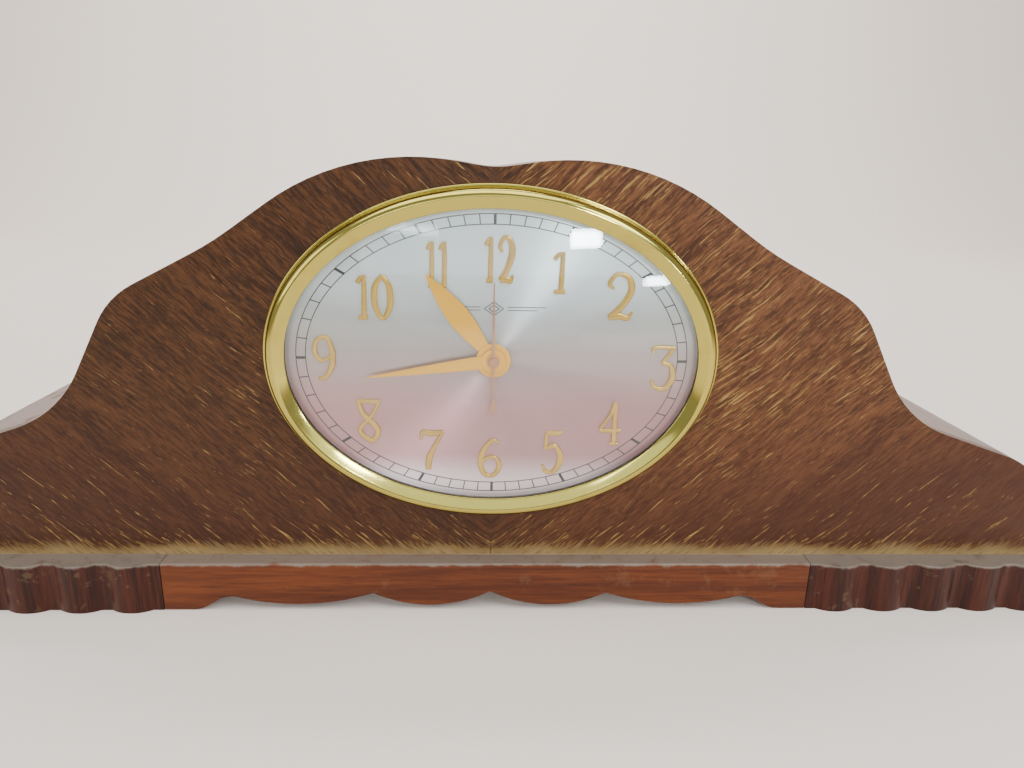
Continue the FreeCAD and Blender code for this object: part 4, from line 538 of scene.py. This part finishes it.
def through(points: np.ndarray, steps: int, closed: bool = False) -> np.ndarray:
    """A smooth line through points, by the Catmull-Rom formula on every column at once.

    Args:
        points: rows of any number of columns.
        steps: samples between two neighbours.
        closed: join the end to the start.

    Returns:
        The sampled rows.
    """
    if closed:
        padded = np.vstack([points[-1:], points, points[:2]])
    else:
        padded = np.vstack([2 * points[:1] - points[1:2], points, 2 * points[-1:] - points[-2:-1]])
    p0, p1, p2, p3 = padded[:-3, None], padded[1:-2, None], padded[2:-1, None], padded[3:, None]
    t = np.linspace(0.0, 1.0, steps, endpoint=False)[None, :, None]
    line = 0.5 * (2 * p1 + (p2 - p0) * t + (2 * p0 - 5 * p1 + 4 * p2 - p3) * t ** 2
                  + (3 * p1 - p0 - 3 * p2 + p3) * t ** 3)
    rows = line.reshape(-1, points.shape[1])
    return rows if closed else np.vstack([rows, points[-1:]])


def settle(piece: bpy.types.Object, body: str, nodes: Sequence[str] = ()) -> bpy.types.Object:
    """Make a finished piece ride and the CAD nodes that it stands for.

    Args:
        piece: the finished object.
        body: the CAD body that carries it.
        nodes: CAD nodes that it replaces.

    Returns:
        The same piece.
    """
    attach(piece, body)
    if nodes:
        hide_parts(*nodes)
    LOG.info("%s: %d faces on %s", piece.name, len(piece.data.polygons), body)
    return piece


def centre_of(node: str) -> Vector:
    """The middle of a CAD node's box."""
    low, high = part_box(node)
    return (Vector(low) + Vector(high)) / 2


# --------------------------------------------------------------------------- finishes in use
WOOD_FINISHES = {
    "dark": StainedWood("reed_wood", Run.ALONG_Z, (0.015, 0.003, 0.002), (0.068, 0.013, 0.005), wear=0.14,
                        roughness=0.34, coat=0.04),
    "top": StainedWood("top_wood", Run.ALONG_Y, (0.040, 0.010, 0.007), (0.120, 0.034, 0.022), wear=0.12,
                       roughness=0.3, coat=0.125),
    "apron": StainedWood("apron_wood", Run.ALONG_X, (0.072, 0.014, 0.003), (0.158, 0.038, 0.008), wear=0.07,
                         coat=0.1),
    "rail": StainedWood("rail_wood", Run.ALONG_Y, (0.040, 0.012, 0.007), (0.13, 0.045, 0.024)),
    "bare": StainedWood("bare_wood", Run.ALONG_X, (0.36, 0.22, 0.11), (0.56, 0.38, 0.21), wear=0.1,
                        roughness=0.6, coat=0.0),
    "board": StainedWood("pressed_board", Run.ALONG_X, (0.13, 0.075, 0.04), (0.21, 0.125, 0.07), wear=0.25,
                         roughness=0.62, coat=0.0),
}
METAL_FINISHES = {
    "bezel": Metal("bezel_brass", (0.54, 0.45, 0.10), (0.38, 0.28, 0.06), 0.07),
    "hand": Metal("hand_brass", (0.88, 0.48, 0.03), (0.70, 0.34, 0.02), 0.28, metallic=0.5),
    "numeral": Metal("numeral_brass", (0.62, 0.41, 0.08), (0.42, 0.24, 0.05), 0.18, metallic=0.7),
    "copper": Metal("copper_tint", (0.50, 0.25, 0.13), (0.34, 0.14, 0.07), 0.30, metallic=0.4),
    "works": Metal("works_brass", (0.80, 0.60, 0.27), (0.42, 0.26, 0.10), 0.26),
    "steel": Metal("steel", (0.60, 0.59, 0.57), (0.32, 0.28, 0.24), 0.24),
    "lamination": Metal("lamination", (0.12, 0.12, 0.13), (0.10, 0.05, 0.03), 0.45, (60.0, 2600.0, 60.0)),
}


# --------------------------------------------------------------------------- case
@dataclass
class WoodenCase:
    """The panel, top, plinth and back, with every visible arris eased."""

    arris: float = 0.7 * MM
    thin_arris: float = 0.3 * MM
    render_levels: int = 3

    def eased(self, node: str, width: float, material: bpy.types.Material,
              body: str = "case") -> bpy.types.Object:
        """A copy of a CAD node, merged, with its sharp edges rounded by a bevel.

        Args:
            node: the CAD node.
            width: the bevel's width.
            material: the finish.
            body: the body that carries it.

        Returns:
            The new piece.
        """
        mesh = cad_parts[node].data.copy()
        mesh.name = node + "_eased"
        work = bmesh.new()
        work.from_mesh(mesh)
        bmesh.ops.remove_doubles(work, verts=work.verts, dist=1e-6)
        bmesh.ops.dissolve_limit(work, angle_limit=math.radians(0.5), verts=work.verts, edges=work.edges)
        work.to_mesh(mesh)
        work.free()
        mesh.materials.clear()
        mesh.materials.append(material)
        piece = bpy.data.objects.new(node + "_eased", mesh)
        bpy.context.scene.collection.objects.link(piece)
        bevel = piece.modifiers.new("arris", "BEVEL")
        bevel.width = width
        bevel.segments = self.render_levels
        bevel.limit_method = "ANGLE"
        bevel.angle_limit = math.radians(35.0)
        bevel.use_clamp_overlap = True
        mesh.shade_smooth()
        mesh.set_sharp_from_angle(angle=math.radians(30.0))
        return settle(piece, body, [node])

    def build(self) -> None:
        """Make and dress the wooden pieces."""
        veneer = MatchedVeneer(foot=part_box("front_panel")[0][2]).material()
        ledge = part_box("plinth_apron")[1][2]
        rubbed = dict.fromkeys(("dark", "apron", "rail"), ledge)
        wood = {key: replace(finish, rubbed_above=rubbed.get(key, finish.rubbed_above)).material()
                for key, finish in WOOD_FINISHES.items()}
        self.eased("front_panel", self.arris, veneer)
        self.eased("case_top", self.thin_arris, wood["top"])
        self.eased("plinth_apron", self.arris, wood["apron"])
        for side in ("left", "right"):
            self.eased("plinth_block_" + side, self.thin_arris, wood["dark"])
        self.eased("plinth_side_rails", self.arris, wood["rail"])
        dress("plinth_rear_rail", wood["rail"])
        for node in ("base_board", "corner_cleats", "back_cleats"):
            dress(node, wood["bare"])
        self.eased("back_panel", self.thin_arris, wood["board"])
        self.eased("back_door", self.thin_arris, wood["board"], "door_body")


def dress(node: str, material: bpy.types.Material) -> None:
    """Give a CAD node a finish in every material slot."""
    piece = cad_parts[node]
    if not piece.material_slots:
        piece.data.materials.append(material)
    for place in piece.material_slots:
        place.material = material


# --------------------------------------------------------------------------- dial and bezel
@dataclass
class OvalBezel:
    """The polished ring round the dial, as one profile carried round an ellipse."""

    steps: int = 360
    samples: int = 6
    profile: np.ndarray = field(default_factory=lambda: MM * np.array([
        (0.05, 0.05), (0.02, 0.55), (0.12, 1.00), (0.45, 1.22), (0.90, 1.26), (1.25, 1.12), (1.42, 1.20),
        (1.55, 2.40), (1.80, 4.20), (2.30, 5.60), (3.10, 6.60), (4.10, 7.20), (5.10, 7.48), (5.90, 7.30),
        (6.80, 6.90), (7.90, 6.40), (9.00, 5.88), (9.95, 5.40), (10.25, 5.15), (10.20, 4.95)]))
    back: np.ndarray = field(default_factory=lambda: MM * np.array([(8.6, 4.95), (8.6, 0.05)]))

    def build(self) -> bpy.types.Object:
        """The profile's inset shortens both half-axes; its rise goes forward from the panel."""
        low, high = (np.array(corner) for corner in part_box("bezel"))
        middle = (low + high) / 2
        half = (high - low) / 2
        inset, rise = np.vstack([through(self.profile, self.samples), self.back]).T
        bag = MeshBag()
        bag.turned(half[0] - inset, half[2] - inset, high[1] - rise, middle, self.steps, ring=True)
        piece = bag.make("bezel_ring", METAL_FINISHES["bezel"].material(), 50.0)
        return settle(piece, "case", ["bezel"])


@dataclass
class DomedGlass:
    """The glass: an oval dome with a flat rim, two walls thick."""

    rings: int = 40
    steps: int = 192
    wall: float = 1.8 * MM
    rim: float = 2.0 * MM
    slack: float = 0.05 * MM
    flange: float = 2.4 * MM
    behind: float = 0.1 * MM
    first_ring: float = 0.004
    foot_share: float = 0.985
    inner_share: float = 0.98

    def build(self) -> bpy.types.Object:
        """Each ring is an ellipse; its height follows a circular arc of the ring's share."""
        low, high = (np.array(corner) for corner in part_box("lens"))
        middle = (low + high) / 2
        half = (high - low) / 2 - self.slack
        seat = high[1] - self.rim
        back = high[1] - self.behind
        rise = seat - low[1]
        share = np.linspace(self.first_ring, 1.0, self.rings)
        dome_edge = 1.0 - self.flange / half[0]
        arc = (rise ** 2 + half[0] ** 2) / (2 * rise)
        lift = np.sqrt(arc ** 2 - (share * half[0]) ** 2) - (arc - rise)
        outer = np.stack([share * dome_edge, seat - lift], axis=-1)
        rim = np.array([(1.0, seat), (1.0, back), (dome_edge * self.foot_share, back)])
        inner = np.stack([share[::-1] * dome_edge * self.inner_share, seat + self.wall - lift[::-1]], axis=-1)
        reach, depth = np.vstack([outer, rim, inner]).T
        bag = MeshBag()
        bag.turned(half[0] * reach, half[2] * reach, depth, middle, self.steps)
        return settle(bag.make("domed_glass", DomeGlass().material(), 60.0), "case", ["lens"])


class MarkWeight(Enum):
    """How wide a mark of the minute track is."""

    MINUTE = 0.50 * MM
    HOUR = 1.25 * MM


@dataclass
class DialPrint:
    """The printed minute track and the small ornament, as films a little above the dial."""

    outer: tuple[float, float] = (87.15 * MM, 63.7 * MM)
    inner: tuple[float, float] = (82.95 * MM, 59.3 * MM)
    line: float = 0.42 * MM
    film: float = 0.05 * MM
    steps: int = 240
    ornament_rise: float = 23.0 * MM
    rule_start: float = 6.0 * MM
    rules: tuple[tuple[float, float], ...] = ((0.7 * MM, 17.0 * MM), (-0.7 * MM, 13.0 * MM))
    rule_width: float = 0.3 * MM
    lozenge: tuple[float, float] = (4.2 * MM, 3.0 * MM)
    lozenge_width: float = 0.35 * MM
    inner_lozenge: float = 0.55

    def ring(self, bag: MeshBag, axes: tuple[float, float], centre: Vector, width: float) -> None:
        """An oval line: four corners of its section carried round the ellipse."""
        side = np.array([-1.0, 1.0, 1.0, -1.0]) * width / 2
        lift = np.array([0.0, 0.0, 1.0, 1.0]) * self.film
        bag.turned(axes[0] + side, axes[1] + side, centre[1] - lift, centre, self.steps, ring=True)

    def bar(self, bag: MeshBag, first: np.ndarray, last: np.ndarray, width: float, y: float) -> None:
        """A straight mark between two (x, z) points, as a thin box."""
        along = (last - first) / np.linalg.norm(last - first)
        side = np.array([-along[1], along[0]]) * width / 2
        ends = np.array([[first - side, first + side], [last - side, last + side]])
        loop = np.stack([ends[:, 0], ends[:, 1], ends[:, 1], ends[:, 0]], axis=1)
        depth = np.array([y, y, y - self.film, y - self.film])[None, :].repeat(2, axis=0)
        bag.grid(np.stack([loop[..., 0], depth, loop[..., 1]], axis=-1), wrap_v=True, cap_u=True)

    def build(self) -> bpy.types.Object:
        """Two oval lines, sixty marks on lines from the centre, and a lozenge between two rules."""
        centre = centre_of("dial_plate")
        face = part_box("dial_plate")[0][1]
        spot = Vector((centre.x, face, centre.z))
        bag = MeshBag()
        self.ring(bag, self.outer, spot, self.line)
        self.ring(bag, self.inner, spot, self.line)
        for minute in range(60):
            angle = math.pi / 2 - math.radians(6.0 * minute)
            way = np.array([math.cos(angle), math.sin(angle)])
            reach = [1.0 / math.hypot(way[0] / a, way[1] / b) for a, b in (self.inner, self.outer)]
            weight = MarkWeight.HOUR if minute % 5 == 0 else MarkWeight.MINUTE
            origin = np.array([spot.x, spot.z])
            self.bar(bag, origin + way * reach[0], origin + way * reach[1], weight.value, face)
        middle = np.array([spot.x, spot.z + self.ornament_rise])
        for side in (-1.0, 1.0):
            for row, length in self.rules:
                start = middle + np.array([side * self.rule_start, row])
                self.bar(bag, start, start + np.array([side * length, 0.0]), self.rule_width, face)
        corners = np.array([(1.0, 0.0), (0.0, 1.0), (-1.0, 0.0), (0.0, -1.0)]) * self.lozenge
        for scale in (1.0, self.inner_lozenge):
            outline = middle + corners * scale
            for first, last in zip(outline, np.roll(outline, -1, axis=0)):
                self.bar(bag, first, last, self.lozenge_width, face)
        ink = Moulded("print_ink", (0.012, 0.013, 0.018), (0.035, 0.036, 0.045), 0.5, 2500.0, 0.00001)
        return settle(bag.make("dial_print", ink.material(), 30.0), "case")


DIGIT_LINES: dict[str, list[list[tuple[float, float, float]]]] = {
    "0": [[(0, .47, .9), (.40, .22, 1.3), (.42, -.2, 1.3), (0, -.47, .9), (-.42, -.2, 1.3), (-.42, .22, 1.3),
           (0, .47, .9)]],
    "1": [[(.22, .47, .9), (.18, 0, 1.05), (.12, -.47, 1.05)],
          [(.2, .44, .7), (-.2, .40, .9), (-.48, .30, 1.0)], [(-.45, -.46, .9), (.5, -.46, .9)]],
    "2": [[(-.28, .16, .5), (-.47, .27, .9), (-.22, .46, .9), (.25, .42, 1.15), (.42, .15, 1.45),
           (.1, -.18, 1.35), (-.42, -.45, 1.2)],
          [(-.45, -.46, 1.2), (-.05, -.42, 1.5), (.3, -.46, 1.2), (.5, -.33, .4)]],
    "3": [[(-.47, .34, .5), (-.4, .46, .9), (.45, .46, .9)], [(.45, .46, .9), (-.05, .12, .9)],
          [(-.05, .12, .9), (.35, .04, 1.2), (.44, -.24, 1.45), (.1, -.47, 1.1), (-.35, -.42, .9),
           (-.47, -.27, .6)]],
    "4": [[(.18, .48, .9), (-.02, .18, .9), (-.47, -.13, .7)], [(-.48, -.17, 1.0), (.48, -.17, 1.0)],
          [(.2, .46, 1.1), (.2, -.46, 1.2)], [(0, -.47, .7), (.42, -.47, .7)]],
    "5": [[(.48, .46, .5), (.2, .42, 1.1), (-.3, .43, 1.0)], [(-.3, .43, .9), (-.35, .08, .9)],
          [(-.35, .08, .9), (.15, .13, 1.15), (.43, -.15, 1.45), (.15, -.44, 1.1), (-.3, -.45, .9),
           (-.47, -.3, .6)]],
    "6": [[(.4, .40, .5), (.1, .47, .9), (-.3, .2, 1.3), (-.43, -.18, 1.3), (-.2, -.45, 1.0), (.2, -.45, 1.0),
           (.43, -.2, 1.2), (.2, .02, .9), (-.2, -.02, .8), (-.4, -.15, .9)]],
    "7": [[(-.47, .28, .6), (-.42, .45, .9), (0, .42, 1.3), (.47, .46, .9)],
          [(.47, .46, .8), (.1, .1, 1.05), (-.13, -.2, 1.5), (-.18, -.47, 1.2)]],
    "8": [[(-.47, .46, .9), (.5, .44, 1.0)],
          [(-.42, .45, .9), (-.2, .15, 1.2), (.38, -.2, 1.3), (.1, -.46, 1.1), (-.38, -.2, 1.0), (.1, .1, .9),
           (.46, .43, .8)]],
    "9": [[(.43, .15, 1.2), (.2, .45, 1.0), (-.3, .42, 1.0), (-.43, .15, 1.1), (-.15, -.05, .9),
           (.3, .05, .8), (.43, .2, .9)],
          [(.43, .2, 1.2), (.38, -.15, 1.3), (.05, -.42, 1.1), (-.3, -.48, .7)]],
}


@dataclass
class RaisedNumerals:
    """Twelve raised and polished numerals, each stroke a crowned ribbon of changing width."""

    stroke: float = 2.1 * MM
    rise: float = 1.15 * MM
    gap: float = 1.8 * MM
    round_steps: int = 9
    line_steps: int = 10
    squareness: float = 0.55
    thin_crown: float = 0.75
    pair_share: float = 0.46
    slim_one: float = 0.6
    places: tuple[tuple[str, float, float, float, float], ...] = (
        ("12", 2.1, 44.5, 15.0, 21.0), ("1", 28.4, 39.4, 6.0, 19.5), ("2", 55.5, 29.2, 12.0, 21.7),
        ("3", 76.6, -3.1, 11.4, 21.6), ("4", 54.2, -29.5, 11.1, 22.4), ("5", 27.9, -43.8, 10.2, 22.6),
        ("6", -0.9, -47.0, 11.2, 19.5), ("7", -27.5, -43.4, 11.5, 20.8), ("8", -56.2, -29.3, 11.7, 21.7),
        ("9", -74.8, -0.1, 10.1, 21.0), ("10", -51.9, 27.5, 18.6, 21.0), ("11", -24.7, 42.1, 13.0, 21.4))

    def ribbon(self, bag: MeshBag, line: np.ndarray, face: float) -> None:
        """A stroke: a half-round section, squashed to the rise, carried along the line.

        Args:
            bag: where the stroke goes.
            line: rows of x, z and width.
            face: the dial's front, as Y.
        """
        smooth = through(line, self.line_steps)
        along = np.gradient(smooth[:, :2], axis=0)
        along /= np.linalg.norm(along, axis=1, keepdims=True)
        side = np.stack([-along[:, 1], along[:, 0]], axis=-1)
        turn = np.linspace(0.0, np.pi, self.round_steps)
        across = np.sign(np.cos(turn)) * np.abs(np.cos(turn)) ** self.squareness
        lift = np.sin(turn) ** self.squareness
        half = smooth[:, 2:3] / 2
        x = smooth[:, :1] + side[:, :1] * half * across[None, :]
        z = smooth[:, 1:2] + side[:, 1:] * half * across[None, :]
        crown = np.minimum(1.0, self.thin_crown + (1.0 - self.thin_crown) * half / (self.stroke / 2))
        y = face - self.rise * crown * lift[None, :]
        bag.grid(np.stack([x, y, z], axis=-1), wrap_v=True, cap_u=True)

    def build(self) -> bpy.types.Object:
        """Set every digit upright at its place round the dial."""
        centre = centre_of("dial_plate")
        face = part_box("dial_plate")[0][1]
        bag = MeshBag()
        for text, across, up, width, height in self.places:
            share = width * MM * (1.0 if len(text) == 1 else self.pair_share)
            widths = [share * (self.slim_one if symbol == "1" and len(text) == 2 else 1.0) for symbol in text]
            start = centre.x + across * MM - (sum(widths) + self.gap * (len(text) - 1)) / 2
            for symbol, size in zip(text, widths):
                scale = np.array([size - self.stroke / 2, height * MM - self.stroke / 2, self.stroke])
                place = np.array([start + size / 2, centre.z + up * MM, 0.0])
                for line in DIGIT_LINES[symbol]:
                    self.ribbon(bag, np.array(line) * scale + place, face)
                start += size + self.gap
        piece = bag.make("raised_numerals", METAL_FINISHES["numeral"].material(), 35.0)
        return settle(piece, "case", ["hour_numerals"])


# --------------------------------------------------------------------------- hands
@dataclass
class ClockHands:
    """The leaf hour hand, the tapered minute hand, the sweep hand and the stepped hub."""

    hour_angle: float = 321.8
    minute_angle: float = 261.7
    line_steps: int = 8
    crown: float = 0.6
    sweep_crown: float = 0.3
    sweep_thick: float = 0.5 * MM
    hub_proud: float = 0.35 * MM
    nut_proud: float = 0.05 * MM
    hour_hub: float = 7.8 * MM
    minute_hub: float = 5.4 * MM
    nut_hub: float = 3.4 * MM
    sweep_hub: float = 2.7 * MM
    sweep_cap: float = 2.0 * MM

    def blade(self, bag: MeshBag, shape: np.ndarray, angle: float, box: tuple, crown: float) -> None:
        """A flat blade with a crowned face.

        Args:
            bag: where the blade goes.
            shape: rows of distance from the centre and half width.
            angle: degrees clockwise from upright.
            box: the CAD hand's box, for its front and back.
            crown: how far the middle stands above the edges.
        """
        line = through(shape, self.line_steps)
        lateral = np.array([-1.0, -0.96, -0.5, 0.0, 0.5, 0.96, 1.0, 0.9, -0.9])
        lift = np.array([0.35, 0.75, 0.93, 1.0, 0.93, 0.75, 0.35, 0.0, 0.0])
        front, back = box[0][1], box[1][1]
        reach = line[:, :1].repeat(len(lateral), axis=1)
        side = line[:, 1:2] * lateral[None, :]
        fine = np.clip(line[:, 1:2] / line[:, 1].max() * 1.6, 0.35, 1.0)
        depth = back - (back - front) * (1 - crown + crown * fine) * lift[None, :]
        turn = math.radians(angle)
        centre = centre_of("dial_plate")
        x = centre.x + reach * math.sin(turn) + side * math.cos(turn)
        z = centre.z + reach * math.cos(turn) - side * math.sin(turn)
        bag.grid(np.stack([x, depth, z], axis=-1), wrap_v=True, cap_u=True)

    def hub(self, bag: MeshBag, radius: float, front: float, back: float) -> None:
        """A round disc with a rolled edge and a shallow dish."""
        small = 0.02 * MM
        roll = min(0.45 * MM, (back - front) * 0.45)
        radii = np.array([small, radius - 2.2 * roll, radius - 1.2 * roll, radius - 0.3 * roll, radius,
                          radius - 0.1 * roll, small])
        depths = np.array([front + 0.25 * roll, front + 0.25 * roll, front, front + 0.2 * roll,
                           front + roll, back, back])
        bag.turned(radii, radii, depths, centre_of("dial_plate"))

    def build(self) -> None:
        """Three hands on their own bodies, and the nut."""
        brass = METAL_FINISHES["hand"].material()
        leaf = [(4.0, 2.3), (8.0, 2.9), (16.0, 4.3), (24.0, 4.95), (32.0, 4.2), (40.0, 2.6), (45.5, 1.0),
                (48.0, 0.12)]
        taper = [(3.0, 3.1), (14.0, 2.75), (30.0, 1.95), (46.0, 0.95), (55.0, 0.35), (57.0, 0.08)]
        needle = [(-26.0, 0.05), (-22.5, 1.15), (-19.5, 1.25), (-16.5, 0.45), (-8.0, 0.5), (0.0, 0.75),
                  (10.0, 0.55), (24.0, 0.38), (35.0, 0.22)]
        for name, shape, angle, hub, node, body in (
                ("hour_leaf", leaf, self.hour_angle, self.hour_hub, "hour_hand", "hour_body"),
                ("minute_taper", taper, self.minute_angle, self.minute_hub, "minute_hand", "minute_body")):
            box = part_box(node)
            bag = MeshBag()
            self.blade(bag, MM * np.array(shape), angle, box, self.crown)
            self.hub(bag, hub, box[0][1] - self.hub_proud, box[1][1])
            settle(bag.make(name, brass, 40.0), body, [node])
        bag = MeshBag()
        nut_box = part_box("hand_nut")
        self.hub(bag, self.nut_hub, nut_box[0][1] - self.nut_proud, nut_box[1][1])
        settle(bag.make("hand_collar", brass, 40.0), "minute_body", ["hand_nut"])
        bag = MeshBag()
        sweep_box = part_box("seconds_hand")
        front, back = sweep_box[0][1], sweep_box[1][1]
        face = back - self.sweep_thick
        self.blade(bag, MM * np.array(needle), 0.0, ((0.0, face, 0.0), sweep_box[1]), self.sweep_crown)
        self.hub(bag, self.sweep_hub, face - 0.12 * MM, back)
        self.hub(bag, self.sweep_cap, front, face + 0.1 * MM)
        copper = METAL_FINISHES["copper"].material()
        settle(bag.make("sweep_needle", copper, 40.0), "seconds_body", ["seconds_hand"])


# --------------------------------------------------------------------------- works
@dataclass
class ChimingWorks:
    """Everything behind the dial, kept from the frame and given its metals and tapes."""

    brass: tuple[str, ...] = (
        "hour_wheel", "minute_wheel", "movement_plate_front", "movement_plate_back", "intermediate_wheel",
        "centre_wheel", "chime_drum", "drum_wheel", "chime_bracket", "hinge_leaves_fixed",
        "hinge_leaves_door", "door_catch", "bezel_studs",
        *(f"chime_hammer_{number}" for number in range(1, 6)))
    steel: tuple[str, ...] = (
        "case_screws", "cannon_pinion", "minute_wheel_post", "set_shaft", "mounting_screws", "mounting_posts",
        "movement_pillars", "seconds_arbor", "motor_rotor", "motor_can", "motor_cap", "clutch_spring",
        "chime_pinion", "hammer_arbor", "chime_rods", "silent_lever")

    def build(self) -> None:
        """Dress the nodes by what they are made of."""
        brass = METAL_FINISHES["works"].material()
        steel = METAL_FINISHES["steel"].material()
        for node in self.brass:
            dress(node, brass)
        for node in self.steel:
            dress(node, steel)
        rubber = Moulded("black_rubber", (0.018, 0.018, 0.018), (0.035, 0.034, 0.033), 0.6, 900.0).material()
        iron = Moulded("painted_iron", (0.022, 0.022, 0.024), (0.05, 0.048, 0.046), 0.45, 700.0, 0.0003, 0.2)
        knob = Moulded("brown_moulding", (0.030, 0.014, 0.009), (0.055, 0.026, 0.015), 0.22, 500.0, 0.00003)
        others = {
            "motor_yoke": METAL_FINISHES["lamination"].material(),
            "motor_coil": WoundTape().material(),
            "dial_plate": SilveredDial(centre_z=centre_of("dial_plate").z).material(),
            "cord_grommet": rubber, "glass_gasket": rubber,
            "chime_block": iron.material(), "set_knob": knob.material()}
        for node, finish in others.items():
            dress(node, finish)
        LOG.info("works: %d nodes dressed", len(self.brass) + len(self.steel) + len(others))


# --------------------------------------------------------------------------- studio
@dataclass
class Studio:
    """The pale sweep, the soft lights and the camera."""

    backdrop: Colour = (0.93, 0.825, 0.735)
    lens_mm: float = 26.26
    eye: Colour = (-5.0 * MM, -324.0 * MM, 206.1 * MM)
    pitch: float = math.radians(16.44)
    yaw: float = -0.04211
    roll: float = -0.02151

    def sweep(self) -> None:
        """A floor that rises behind in a quarter circle: depth and height follow one profile."""
        radius, reach, rise, front, half_width = 1.2, 1.6, 4.0, -5.0, 6.0
        bend = np.linspace(0.0, np.pi / 2, 25)
        depth = np.concatenate([[front], reach + radius * np.sin(bend), [reach + radius]])
        height = np.concatenate([[0.0], radius - radius * np.cos(bend), [rise]])
        x = np.array([-half_width, half_width])
        grid = np.stack([np.repeat(x[None, :], len(depth), axis=0), np.repeat(depth[:, None], 2, axis=1),
                         np.repeat(height[:, None], 2, axis=1)], axis=-1)
        bag = MeshBag()
        bag.grid(grid)
        paper = Moulded("backdrop_paper", self.backdrop, self.backdrop, 0.85, 400.0, 0.00001)
        bag.make("backdrop", paper.material(), 60.0)

    def light(self, name: str, place: Colour, aim: Colour, size: tuple[float, float], watts: float,
              colour: Colour = (1.0, 1.0, 1.0)) -> None:
        """A flat light of two sizes, turned to face a point."""
        data = bpy.data.lights.new(name, "AREA")
        data.shape = "RECTANGLE"
        data.size, data.size_y = size
        data.energy = watts
        data.color = colour
        lamp = bpy.data.objects.new(name, data)
        lamp.visible_camera = False
        lamp.location = place
        lamp.rotation_euler = (Vector(aim) - Vector(place)).to_track_quat("-Z", "Y").to_euler()
        bpy.context.scene.collection.objects.link(lamp)

    def camera(self) -> None:
        """Stand the camera before the panel, pitched down, with a little yaw and roll."""
        data = bpy.data.cameras.new("camera")
        data.lens = self.lens_mm
        data.sensor_width = 36.0
        data.clip_start = 0.01
        eye = bpy.data.objects.new("camera", data)
        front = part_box("front_panel")[0][1]
        turn = (Matrix.Rotation(self.yaw, 4, "Z") @ Matrix.Rotation(-self.pitch, 4, "X")
                @ Matrix.Rotation(self.roll, 4, "Y") @ Matrix.Rotation(math.pi / 2, 4, "X"))
        eye.matrix_world = Matrix.Translation((self.eye[0], front + self.eye[1], self.eye[2])) @ turn
        bpy.context.scene.collection.objects.link(eye)
        bpy.context.scene.camera = eye

    def build(self) -> None:
        """Set up everything that isn't the clock."""
        self.camera()
        self.sweep()
        world = bpy.data.worlds.new("studio")
        world.use_nodes = True
        world.node_tree.nodes["Background"].inputs[0].default_value = (0.80, 0.82, 0.86, 1.0)
        world.node_tree.nodes["Background"].inputs[1].default_value = 0.55
        bpy.context.scene.world = world
        dial, window = (0.0, -0.05, 0.12), (0.90, 0.96, 1.0)
        for lamp in (
                ("overhead", (-0.2, -0.4, 1.7), (0.0, 0.1, 0.1), (1.8, 1.2), 22.0, (1.0, 0.98, 0.95)),
                ("key_window", (0.80, -0.95, 1.15), dial, (0.5, 0.5), 7.0, (0.88, 0.95, 1.0)),
                ("front_sky", (0.1, -1.7, 0.75), dial, (1.8, 0.7), 5.0, (0.86, 0.94, 1.0)),
                ("window_high", (0.40, -1.22, 0.56), (0.03, -0.06, 0.17), (0.13, 0.10), 4.2, window),
                ("window_low", (0.68, -1.13, 0.30), (0.07, -0.06, 0.16), (0.11, 0.05), 1.2, window),
                ("window_left", (-0.42, -1.25, 0.62), (-0.04, -0.06, 0.18), (0.40, 0.05), 0.5, window),
                ("left_fill", (-1.5, -1.0, 0.8), (0.0, 0.0, 0.1), (0.8, 0.8), 5.0),
                ("backdrop_wash", (0.0, 0.9, 2.2), (0.0, 2.6, 0.8), (3.0, 0.8), 84.0)):
            self.light(*lamp)


def main() -> None:
    """Build the clock and the studio."""
    logging.basicConfig(level=logging.INFO, format="%(name)s: %(message)s")
    Studio().build()
    WoodenCase().build()
    OvalBezel().build()
    DomedGlass().build()
    DialPrint().build()
    RaisedNumerals().build()
    ClockHands().build()
    ChimingWorks().build()


if __name__ == "__main__":
    main()
